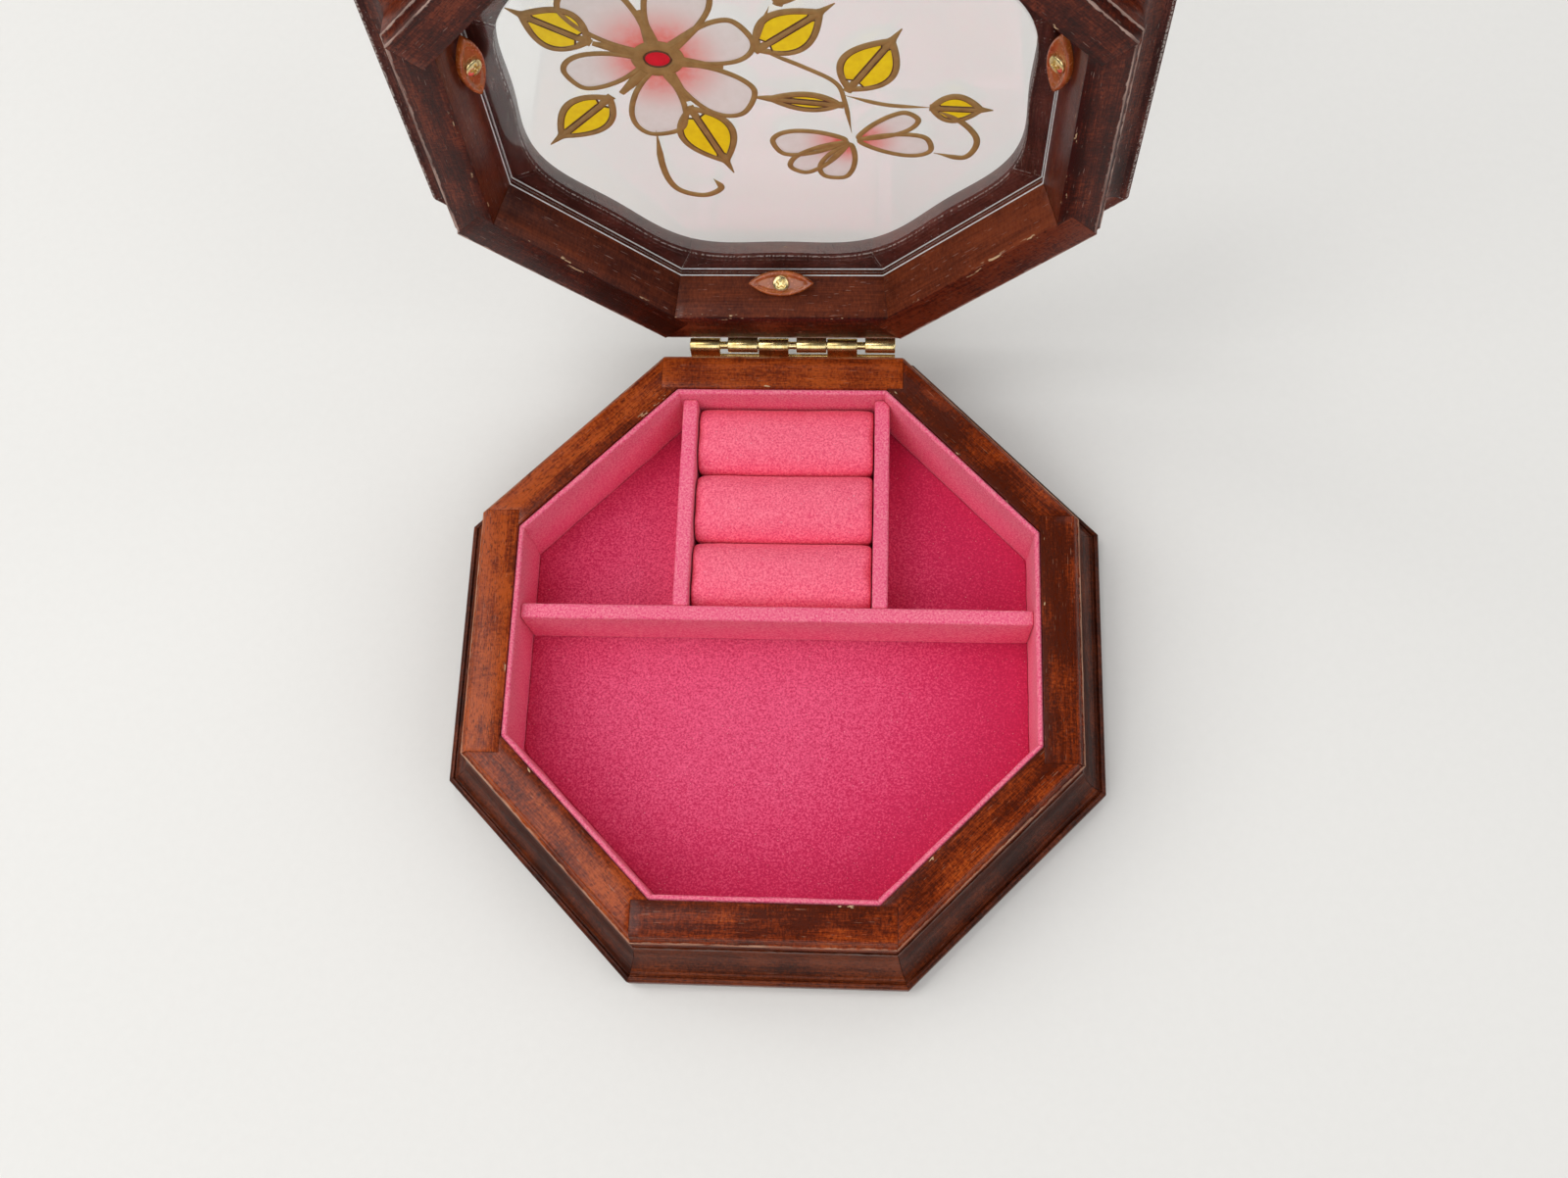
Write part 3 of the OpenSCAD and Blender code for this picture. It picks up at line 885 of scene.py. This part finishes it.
class Spray:
    """The painted spray: blossoms, two-lobed leaves and stems between lead lines."""

    def __init__(self):
        self.petals = Film("painted_petals")
        self.leaves = Film("painted_leaf_cells")
        self.centres = Film("painted_flower_centres")
        self.lead = Film("painted_lead_lines")
        self.lines = Film("painted_cell_lines")

    def petal(self, heart, angle, length, width, start=3.2 * MM):
        root = placed(heart, angle, start, 0)
        outline = petal_outline(root, angle, length - start, width)
        self.petals.fill(offset(outline, LEAD_W * 0.35), np.array(root), length * 0.60)
        self.lead.line(outline, LEAD_W, LEAD_H, closed=True)

    def heart(self, heart, radius):
        ring = np.array(ring_points(1, 32)) * (radius * 1.25, radius) + heart
        self.centres.fill(ring, thickness=FILM_T * 2)
        self.lines.line(ring, LINE_W, LEAD_H * 1.2, closed=True)
        around = np.array(ring_points(1, 32)) * (radius * 1.9, radius * 1.65) + heart
        self.lead.line(around, radius * 1.3, LEAD_H, closed=True)

    def web(self, heart, angles, length, width):
        """Lead that fills the narrow gaps between neighbouring petals."""
        for a, b in zip(angles, angles[1:] + [angles[0] + 360]):
            if b - a < 75:
                line = np.array([placed(heart, (a + b) / 2, t * length, 0)
                                 for t in np.linspace(0.36, 1, 15)])
                self.lead.line(line, np.linspace(width, width * 0.4, 15), LEAD_H * 0.95)

    def leaf(self, root, angle, length, width):
        """A pointed leaf with a yellow cell on each side of its midrib."""
        s = np.linspace(0, 1, 25)
        rib = 0.75 * MM
        swell = np.sin(pi * s ** 0.85) ** 0.9 * width / 2
        for side in (1, -1):
            open_part = (s > 0.10) & (s < 0.90)
            outer = np.maximum(swell - LEAD_W * 0.75, rib * 1.1)[open_part]
            along = s[open_part] * length
            cell = [placed(root, angle, a, side * b) for a, b in zip(along, outer)]
            cell += [placed(root, angle, a, side * rib) for a in along[-2:0:-1]]
            cell = np.array(cell)
            self.leaves.fill(cell, thickness=FILM_T * 1.5)
            self.lines.line(cell, LINE_W, LEAD_H * 0.8, closed=True)
            edge = np.array([placed(root, angle, a * length, side * max(b - LEAD_W * 0.3, 0.1 * MM))
                             for a, b in zip(s, swell)])
            self.lead.line(edge, LEAD_W * 1.25, LEAD_H)
        midrib = np.array([placed(root, angle, a * length, 0)
                           for a in np.linspace(-0.05, 1.22, 21)])
        widths = np.interp(np.linspace(0, 1, 21), [0, 0.15, 0.5, 0.8, 1],
                           [2.2 * MM, 1.9 * MM, 1.3 * MM, 2.0 * MM, 0.3 * MM])
        self.lead.line(midrib, widths, LEAD_H * 1.05)

    def stem(self, points, width=1.1 * MM):
        self.lead.line(spline(np.array(points) * MM), width, LEAD_H, taper=True)

    def finish(self, petal, yellow, red, bronze, brown):
        self.petals.finish(petal)
        self.leaves.finish(yellow)
        self.centres.finish(red)
        self.lead.finish(bronze)
        self.lines.finish(brown)


def painted_flowers(*materials):
    """The layout, in millimetres on the pane: x to the right and y towards the hinge."""
    spray = Spray()
    heart = np.array((-22.4, -15.5)) * MM
    petals = ((-18, 21, 12), (40, 24, 12.5), (96, 24, 12), (166, 21, 10), (232, 26, 13.5),
              (290, 24, 13))
    for angle, length, width in petals:
        spray.petal(heart, angle, length * MM, width * MM)
    spray.web(heart, [petal[0] for petal in petals], 14 * MM, 3.4 * MM)
    spray.heart(heart, 2.3 * MM)
    bud = np.array((18.6, 10.5)) * MM
    petals = ((-28, 16, 6), (8, 18, 7), (112, 14, 7.5), (144, 17, 6.5), (176, 18, 8))
    spray.web(bud, [petal[0] for petal in petals], 9 * MM, 1.8 * MM)
    for angle, length, width in petals:
        spray.petal(bud, angle, length * MM, width * MM, start=1.6 * MM)
    for x, y, angle, length, width in (
            (-36.5, -20.5, 212, 15, 12), (-34.5, -3.5, 136, 18, 11), (-17, 0, 70, 19, 12.5),
            (-1, -18, -38, 17, 12), (18, -6, -58, 17, 12.5), (16, -1, 188, 16, 5.5),
            (36, 0, 4, 11, 8.5), (-25.7, -35.5, 261, 13, 9), (4, -31, -70, 13, 8)):
        spray.leaf(np.array((x, y)) * MM, angle, length * MM, width * MM)
    spray.stem([(-1, -18), (8, -13), (15, -8), (17, -2), (18.4, 8)])
    spray.stem([(17, -4), (26, -1), (36, 0)])
    spray.stem([(36, 0), (43, 5), (46.5, 11), (44, 16.5), (37, 15)], 1.5 * MM)
    spray.stem([(-25.5, 7), (-25.4, 20), (-23, 27.5), (-17, 30), (-12.6, 27.5), (-14, 24)],
               1.6 * MM)
    spray.stem([(2, -30), (0, -24), (-2, -18)])
    spray.finish(*materials)


# Materials


class Graph:
    """Builds one procedural material. Lengths in its noises are in millimetres."""

    def __init__(self, name):
        self.material = bpy.data.materials.new(name)
        self.material.use_nodes = True
        self.tree = self.material.node_tree
        self.tree.nodes.clear()
        self.shader = self.add("ShaderNodeBsdfPrincipled")
        output = self.add("ShaderNodeOutputMaterial")
        self.tree.links.new(self.shader.outputs[0], output.inputs[0])

    def add(self, kind, values=None, **settings):
        node = self.tree.nodes.new(kind)
        for key, value in settings.items():
            setattr(node, key, value)
        for socket, value in (values or {}).items():
            self.feed(node.inputs[socket], value)
        return node

    def feed(self, socket, value):
        if isinstance(value, bpy.types.NodeSocket):
            self.tree.links.new(value, socket)
        elif socket.type == "RGBA":
            socket.default_value = (*value, 1)
        else:
            socket.default_value = value

    def stretch(self, vector, x, y, z, turn=0.0):
        mapping = self.add("ShaderNodeMapping", {"Vector": vector, "Scale": (x, y, z),
                                                 "Rotation": (0, 0, turn)})
        return mapping.outputs[0]

    def stored(self, name):
        """A vector stored on the mesh, in millimetres."""
        stored = self.add("ShaderNodeAttribute", attribute_name=name)
        return self.stretch(stored.outputs["Vector"], *[1000] * 3)

    def stored_value(self, name):
        return self.add("ShaderNodeAttribute", attribute_name=name).outputs["Fac"]

    def place(self):
        """The point's place in the box's frame, in millimetres."""
        place = self.add("ShaderNodeTexCoord")
        return self.stretch(place.outputs["Object"], *[1000] * 3)

    def noise(self, vector, detail=2.0, roughness=0.5, scale=1.0, distortion=0.0):
        texture = self.add("ShaderNodeTexNoise", {
            "Vector": vector, "Scale": scale, "Detail": detail, "Roughness": roughness,
            "Distortion": distortion})
        return texture.outputs["Fac"]

    def math(self, operation, a, b=0.0, clamp=False):
        return self.add("ShaderNodeMath", {0: a, 1: b}, operation=operation,
                        use_clamp=clamp).outputs[0]

    def plus(self, a, b, clamp=False):
        return self.math("ADD", a, b, clamp)

    def minus(self, a, b):
        return self.math("SUBTRACT", a, b)

    def times(self, a, b, clamp=False):
        return self.math("MULTIPLY", a, b, clamp)

    def distance(self, x, y):
        return self.math("SQRT", self.plus(self.times(x, x), self.times(y, y)))

    def step(self, value, low, high):
        """0 below low, 1 above high and smooth between."""
        ranged = self.add("ShaderNodeMapRange", {"Value": value, "From Min": low, "From Max": high},
                          interpolation_type="SMOOTHSTEP")
        return ranged.outputs["Result"]

    def span(self, value, low, high, to_low, to_high):
        ranged = self.add("ShaderNodeMapRange", {"Value": value, "From Min": low, "From Max": high,
                                                 "To Min": to_low, "To Max": to_high})
        return ranged.outputs["Result"]

    def mix(self, factor, a, b):
        node = self.add("ShaderNodeMix", data_type="RGBA")
        for socket, value in ((0, factor), (6, a), (7, b)):
            self.feed(node.inputs[socket], value)
        return node.outputs[2]

    def ramp(self, value, *stops):
        ramp = self.add("ShaderNodeValToRGB", {"Fac": value})
        elements = ramp.color_ramp.elements
        while len(elements) < len(stops):
            elements.new(0.5)
        for element, (place, colour) in zip(elements, stops):
            element.position = place
            element.color = (*colour, 1)
        return ramp.outputs["Color"]

    def parts(self, vector):
        return self.add("ShaderNodeSeparateXYZ", {0: vector}).outputs

    def bump(self, height, depth, under=None):
        """Bump whose height of 1 stands for a depth in millimetres."""
        values = {"Height": height, "Distance": depth * MM, "Strength": 1.0}
        if under is not None:
            values["Normal"] = under
        return self.add("ShaderNodeBump", values).outputs[0]

    def done(self, **values):
        for name, value in values.items():
            self.feed(self.shader.inputs[name.replace("_", " ")], value)
        return self.material


class Wood(Graph):
    """Lacquered wood: long bands, fibres, cross flecks and short dark pores along the stave. tones
    are its dark, middle and light colour. gloss holds the lowest and highest roughness and the
    weight and roughness of the coat."""

    def __init__(self, name, tones, gloss):
        super().__init__(name)
        self.gloss = gloss
        self.grain = self.stored("grain")
        self.local = self.parts(self.stored("stave"))
        self.bands = self.streaks(0.016, 0.22, 4, 0.55, distortion=0.8)
        self.fibres = self.streaks(0.10, 2.4, 3, 0.6)
        self.flecks = self.streaks(1.7, 0.75, 3, 0.65)
        self.shade = self.paleness()
        colour = self.ramp(self.shade, (0.40, tones[0]), (0.50, tones[1]), (0.60, tones[2]))
        pore = self.step(self.streaks(0.75, 4.6), 0.56, 0.64)
        self.colour = self.mix(self.times(pore, 0.72), colour, tuple(c * 0.4 for c in tones[0]))
        self.height = self.times(pore, -1.0)
        self.rough = self.span(self.streaks(0.25, 0.9, 3), 0.3, 0.7, *gloss[:2])

    def streaks(self, along, across, detail=2, roughness=0.5, turn=0.0, distortion=0.0):
        place = self.stretch(self.grain, along, across, across, turn)
        return self.noise(place, detail, roughness, distortion=distortion)

    def paleness(self):
        shade = self.plus(self.times(self.bands, 0.36), self.times(self.fibres, 0.30))
        shade = self.plus(shade, self.times(self.flecks, 0.34))
        figure = self.streaks(0.09, 0.05)
        shade = self.plus(shade, self.span(figure, 0.3, 0.7, -0.06, 0.06))
        shade = self.plus(shade, self.span(self.stored_value("tone"), 0.5, 1.0, -0.08, 0.05))
        return self.plus(shade, self.span(self.local[0], TRAY_R / MM, RIM_R / MM, -0.02, 0.03))

    def near_edge(self, edge, width, ragged):
        """1 close to an edge at (distance, height) in metres, with a ragged border."""
        away = self.distance(self.minus(self.local[0], edge[0] / MM),
                             self.minus(self.local[2], edge[1] / MM))
        reach = self.span(ragged, 0.35, 0.65, width * 0.35, width * 1.5)
        return self.minus(1.0, self.step(self.math("DIVIDE", away, reach), 0.5, 1.0))

    def recolour_inside(self, dark, pale):
        """Gives the inner faces of the lid's staves their own colours."""
        outside = self.step(self.local[0], MATE_R / MM, MATE_R / MM + 0.4)
        inside = self.times(self.step(self.local[2], 0.15, 0.5), self.minus(1.0, outside))
        self.colour = self.mix(self.times(inside, 0.8), self.colour,
                               self.ramp(self.shade, (0.34, dark), (0.66, pale)))

    # Pale lines along some edges: rubbed wood and a painted highlight where light catches the
    # arris.
    def rub_and_highlight(self, edges, colour):
        ragged = self.streaks(0.35, 0.8, 4, 0.65)
        rubbed_and_highlit, *others = [self.near_edge(edge, width, ragged) for edge, width in edges]
        for mask in others:
            rubbed_and_highlit = self.math("MAXIMUM", rubbed_and_highlit, mask)
        rubbed_and_highlit = self.times(rubbed_and_highlit, self.span(self.streaks(0.10, 0.3, 3), 0.35, 0.65, 0.25, 0.9))
        self.colour = self.mix(rubbed_and_highlit, self.colour, colour)
        self.rough = self.plus(self.rough, self.times(rubbed_and_highlit, 0.25), clamp=True)

    def chip(self, edge, width, share):
        """Knocks raw chips out of an edge: the more of them, the lower the share."""
        ragged = self.streaks(0.16, 0.5, 3, 0.7)
        chip = self.times(self.near_edge(edge, width, ragged),
                          self.step(ragged, share, share + 0.03))
        self.colour = self.mix(chip, self.colour, (0.58, 0.40, 0.23))
        self.height = self.minus(self.height, self.times(chip, 3.0))
        self.rough = self.plus(self.rough, self.times(chip, 0.4), clamp=True)

    def scratch(self, colour):
        scratches = self.step(self.streaks(0.25, 4.0, 1, 0.4, turn=0.5), 0.72, 0.75)
        self.colour = self.mix(self.times(scratches, 0.35), self.colour, colour)

    def dust(self, amount):
        """Specks of dust, and a line of it in the corner under the top frame."""
        specks = self.streaks(1.7, 1.7, 2, 0.6)
        up, corner = self.local[2], FRAME_Z / MM
        line = self.minus(self.step(up, corner + 0.02, corner + 0.08),
                          self.step(up, corner + 0.28, corner + 0.45))
        line = self.times(line, self.step(specks, 0.45, 0.55))
        dusty = self.math("MAXIMUM", self.step(specks, 0.69, 0.74), line)
        self.colour = self.mix(self.times(dusty, amount), self.colour, (0.62, 0.55, 0.50))

    def lacquered(self):
        return self.done(
            Base_Color=self.colour, Roughness=self.rough, Specular_IOR_Level=0.1, IOR=1.5,
            Normal=self.bump(self.height, 0.02, self.bump(self.fibres, 0.014)),
            Coat_Weight=self.gloss[2], Coat_Roughness=self.gloss[3],
            Coat_Normal=self.bump(self.flecks, 0.02, self.bump(self.bands, 0.05)))


def wood(name, tones, gloss, rubbed_and_highlit, rub_and_highlight_colour, chipped=(), inner=(), dust=0.0):
    """A lacquered wood with pale lines along some of its edges, rubbed wood with a painted
    highlight, and perhaps raw chips on others, other colours inside and dust."""
    g = Wood(name, tones, gloss)
    if inner:
        g.recolour_inside(*inner)
    g.rub_and_highlight(rubbed_and_highlit, rub_and_highlight_colour)
    for edge in chipped:
        g.chip(*edge)
    g.scratch(rub_and_highlight_colour)
    if dust:
        g.dust(dust)
    return g.lacquered()


# Painted light and shade on the felt floor: palest to the left of the centre, darker further out.
PAINTED_LIGHT_SHIFT = 14 * MM       # how far to the left of the centre the felt floor is palest


def felt(name, deep, pale, painted_light_heights, outer=None):
    """Flocked pile: a fine nap, a faint mottle and specks of lint. Painted light: it is paler
    higher
    up, between the two lit heights, for lit tops and crests over shaded lower parts. Painted shade:
    it is ever deeper between the distances in outer, away from its palest place towards the walls."""
    g = Graph(name)
    place = g.place()
    x, y, z = g.parts(place)
    mottle = g.noise(place, 2, 0.5, scale=0.10)
    nap = g.noise(place, 3, 0.7, scale=1.9)
    shade = g.plus(g.times(mottle, 0.35), g.times(nap, 3.0))
    # painted light: paler higher up, for lit tops and crests, with painted shade lower down
    shade = g.plus(shade, g.span(z, painted_light_heights[0] / MM, painted_light_heights[1] / MM, -1.47, -0.97))
    # painted shade: deeper away from the palest, lit place, towards the walls
    if outer is not None:
        away = g.distance(g.plus(x, PAINTED_LIGHT_SHIFT / MM), y)
        shade = g.minus(shade, g.step(away, outer[0] / MM, outer[1] / MM))
    colour = g.ramp(shade, (0.0, deep), (1.0, pale))
    colour = g.mix(g.span(nap, 0.36, 0.60, 0.36, 0.0), colour, tuple(c * 0.4 for c in deep))
    lint = g.step(g.noise(place, 1, 0.5, scale=2.1), 0.73, 0.76)
    colour = g.mix(g.times(lint, 0.5), colour, (0.86, 0.52, 0.56))
    return g.done(Base_Color=colour, Roughness=0.95, Normal=g.bump(nap, 0.05),
                  Specular_IOR_Level=0.15, Sheen_Weight=0.25, Sheen_Roughness=0.45,
                  Sheen_Tint=(1.0, 0.62, 0.70))


def brass(name, tones, roughness):
    g = Graph(name)
    place = g.place()
    streaks = g.noise(g.stretch(place, 1.6, 0.12, 0.12), 3, 0.55)
    tarnish = g.noise(place, 4, 0.6, scale=0.35)
    shade = g.plus(g.times(streaks, 0.35), g.times(tarnish, 0.65))
    colour = g.ramp(shade, (0.36, tones[0]), (0.60, tones[1]))
    rough = g.span(tarnish, 0.3, 0.7, roughness + 0.06, roughness)
    return g.done(Base_Color=colour, Metallic=1.0, Roughness=rough,
                  Normal=g.bump(streaks, 0.0025))


def clip_plastic():
    g = Graph("amber_plastic")
    cloud = g.noise(g.place(), 3, 0.5, scale=0.35)
    colour = g.ramp(cloud, (0.3, (0.36, 0.075, 0.014)), (0.7, (0.62, 0.17, 0.035)))
    haze = g.noise(g.place(), 2, 0.5, scale=1.4)
    return g.done(Base_Color=colour, Roughness=g.span(haze, 0.3, 0.7, 0.16, 0.3),
                  Transmission_Weight=0.25, Coat_Weight=0.4, Coat_Roughness=0.1, IOR=1.5,
                  Subsurface_Weight=0.35, Subsurface_Scale=0.002,
                  Subsurface_Radius=(1.0, 0.35, 0.1), Normal=g.bump(haze, 0.006))


def clear_glass():
    g = Graph("clear_glass")
    smear = g.noise(g.place(), 4, 0.6, scale=0.05)
    return g.done(Base_Color=(0.97, 0.99, 0.98), Roughness=g.span(smear, 0.5, 0.8, 0.0, 0.05),
                  Transmission_Weight=1.0, IOR=1.45, Alpha=0.16)


def ground_edge():
    g = Graph("ground_glass_edge")
    grit = g.noise(g.place(), 3, 0.6, scale=1.5)
    return g.done(Base_Color=g.ramp(grit, (0.3, (0.62, 0.64, 0.63)), (0.7, (0.90, 0.91, 0.90))),
                  Roughness=g.span(grit, 0.3, 0.7, 0.3, 0.55), Alpha=0.9,
                  Normal=g.bump(grit, 0.03))


def paint(name, deep, pale, roughness=0.35, blush=None, cover=1.0):
    """Glass paint: slightly cloudy, with an optional blush stored on the mesh."""
    g = Graph(name)
    cloud = g.noise(g.place(), 3, 0.55, scale=0.5)
    colour = g.ramp(cloud, (0.3, deep), (0.7, pale))
    if blush is not None:
        amount = g.span(cloud, 0.3, 0.7, 0.8, 1.1)
        amount = g.times(g.stored_value("blush"), amount, clamp=True)
        colour = g.mix(amount, colour, blush)
    grit = g.noise(g.place(), 2, 0.5, scale=2.5)
    return g.done(Base_Color=colour, Roughness=g.span(grit, 0.3, 0.7, roughness, roughness + 0.15),
                  Alpha=cover, Normal=g.bump(grit, 0.008))


def paper(name, colour):
    g = Graph(name)
    tooth = g.noise(g.place(), 3, 0.6, scale=0.4)
    shade = g.ramp(tooth, (0.3, tuple(c * 0.985 for c in colour)), (0.7, colour))
    return g.done(Base_Color=shade, Roughness=0.75, Specular_IOR_Level=0.3)


# Lights, floor and camera

LENS = 35.587
CAMERA_PLACE = (0.025225, -0.105990, 0.396812)
CAMERA_TURN = (17.634, 3.3797, 0.8252)   # degrees about Z, then Y, then X


def add_camera():
    camera = linked("camera", bpy.data.cameras.new("camera"))
    camera.data.lens = LENS
    camera.data.sensor_width = 36
    camera.data.clip_start = 0.01
    camera.rotation_mode = "ZYX"
    camera.location = CAMERA_PLACE
    camera.rotation_euler = [radians(a) for a in CAMERA_TURN]
    bpy.context.scene.camera = camera


def softbox(name, place, aim, size, power, colour=(1, 1, 1)):
    light = bpy.data.lights.new(name, "AREA")
    light.shape = "RECTANGLE"
    light.size, light.size_y = size
    light.energy = power
    light.color = colour
    lamp = linked(name, light)
    lamp.location = place
    lamp.rotation_mode = "QUATERNION"
    lamp.rotation_quaternion = (Vector(aim) - Vector(place)).to_track_quat("-Z", "Y")


TABLE_HALF = 6
WORLD_STRENGTH = 0.05
WIDE_BOX = (1.6, 1.2)


def add_stage():
    """A pale table top that runs on past every view, and soft light from above."""
    bm = bmesh.new()
    bmesh.ops.create_grid(bm, x_segments=1, y_segments=1, size=TABLE_HALF)
    mesh = bpy.data.meshes.new("table_top")
    bm.to_mesh(mesh)
    bm.free()
    table = linked("table_top", mesh)
    table.location.z = -0.02 * MM
    mesh.materials.append(paper("table_paper", (0.80, 0.79, 0.765)))
    world = bpy.data.worlds.new("studio")
    bpy.context.scene.world = world
    world.use_nodes = True
    background = world.node_tree.nodes["Background"].inputs
    background["Color"].default_value = (0.93, 0.95, 1.0, 1)
    background["Strength"].default_value = WORLD_STRENGTH
    aim = (0, 0, 0.02)
    softbox("left_box", (-1.08, 0.10, 1.14), aim, WIDE_BOX, 13.7, (1.0, 0.99, 0.97))
    softbox("right_box", (1.18, -0.15, 1.08), aim, WIDE_BOX, 9.2)
    softbox("front_box", (-0.15, -1.18, 1.12), aim, WIDE_BOX, 10.8)
    softbox("back_box", (0.10, 1.22, 1.14), aim, WIDE_BOX, 7.4)
    softbox("overhead_left_box", (-0.36, 0.11, 1.15), aim, (0.42, 0.36), 2.2)


# Everything together

# The rim's pale line on the cove's lower arris: rubbed wood and a painted highlight.
RIM_EDGES = [((BODY_R, RIM_Z - EDGE_COVE[1]), 0.5)]

rim_wood = wood(
    "rim_wood", ((0.075, 0.009, 0.0015), (0.21, 0.028, 0.004), (0.40, 0.070, 0.010)),
    (0.24, 0.36, 0.15, 0.13), RIM_EDGES, (0.50, 0.28, 0.18),
    chipped=[((TRAY_R, RIM_Z), 0.75, 0.66)])
# The plinth's grey line along its top edge: a painted highlight and rubbed wood.
plinth_wood = wood(
    "plinth_wood", ((0.034, 0.0055, 0.0015), (0.092, 0.015, 0.003), (0.18, 0.034, 0.008)),
    (0.28, 0.42, 0.12, 0.14), [((BODY_R + 0.5 * MM, PLINTH_TOP), 0.3)], (0.20, 0.14, 0.12))
lid_wood = wood(
    "lid_wood", ((0.026, 0.003, 0.001), (0.070, 0.009, 0.003), (0.17, 0.030, 0.010)),
    (0.30, 0.42, 0.2, 0.2), [((RIM_R, 0), 0.5), ((BODY_R, EDGE_COVE[1]), 0.4)],
    (0.52, 0.36, 0.30), chipped=[((MATE_R, 0), 0.8, 0.63)],
    inner=((0.055, 0.009, 0.004), (0.22, 0.047, 0.015)))
frame_wood = wood(
    "frame_wood", ((0.040, 0.009, 0.007), (0.090, 0.022, 0.016), (0.15, 0.042, 0.029)),
    (0.5, 0.7, 0.04, 0.3),
    [((PLINTH_R, z), 0.3) for z in (FRAME_Z + FRAME_ROUND, FRAME_TOP - FRAME_ROUND)],
    (0.40, 0.28, 0.22), dust=0.6)
panel_wood = wood(
    "panel_wood", ((0.16, 0.065, 0.028), (0.25, 0.115, 0.055), (0.33, 0.17, 0.085)),
    (0.5, 0.7, 0.1, 0.3), RIM_EDGES, (0.30, 0.17, 0.09))
# The felt is paler higher up and the floor darker towards the walls: painted light and shade.
floor_felt = felt("floor_felt", (0.66, 0.030, 0.115), (0.80, 0.115, 0.235),
                  (FLOOR_Z - MM, FLOOR_Z - 0.5 * MM), (15 * MM, 94 * MM))
strip_felt = felt("strip_felt", (0.98, 0.055, 0.22), (0.90, 0.25, 0.33), (FLOOR_Z, LINING_TOP))
roll_cloth = felt("roll_cloth", (0.94, 0.055, 0.165), (1.0, 0.21, 0.30),
                  (FLOOR_Z + 6 * MM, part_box("ring_roll_back")[1].z))
amber_plastic = clip_plastic()
polished_brass = brass("polished_brass", ((0.60, 0.44, 0.16), (0.86, 0.70, 0.37)), 0.24)

for side in range(8):
    wall(side, rim_wood)
    plinth(side, plinth_wood)
    lining(side, strip_felt)
    lid_wall(side, lid_wood)
    frame_board(side, frame_wood)
bottom_panel(panel_wood)
floor_card(floor_felt)
for which in ("cross", "left", "right"):
    divider(which, strip_felt)
for which in ("back", "middle", "front"):
    ring_roll(which, roll_cloth)
leaf("rolled_leaf_base", "hinge_leaf_base", 0, BASE_LEAF_H, polished_brass, "base")
leaf("rolled_leaf_lid", "hinge_leaf_lid", 1, LID_LEAF_H, polished_brass, "lid")
hinge_screws("slotted_screws_base", "hinge_screws_base", Matrix.Identity(4), BASE_SCREW_Z,
             (15, 80, -35), polished_brass, "base")
hinge_screws("slotted_screws_lid", "hinge_screws_lid", LID, LID_SCREW_Z,
             (60, -20, 5), polished_brass, "lid")
for number in range(4):
    glass_clip(number, amber_plastic)
clip_screws(polished_brass)
glass_pane(clear_glass(), ground_edge())
painted_flowers(
    paint("petal_paint", (0.90, 0.85, 0.81), (0.94, 0.90, 0.87), blush=(0.95, 0.12, 0.08),
          cover=0.72),
    paint("yellow_paint", (0.90, 0.62, 0.0), (1.0, 0.74, 0.002)),
    paint("red_paint", (0.62, 0.0, 0.01), (0.80, 0.0, 0.02)),
    paint("bronze_paint", (0.28, 0.152, 0.04), (0.38, 0.219, 0.067), 0.4),
    paint("brown_paint", (0.075, 0.022, 0.003), (0.12, 0.038, 0.006)))
pin_materials = frame["nodes"]["hinge_pin"].data.materials
pin_materials.clear()
pin_materials.append(polished_brass)

add_camera()
add_stage()
bpy.context.scene.view_settings.view_transform = "Standard"
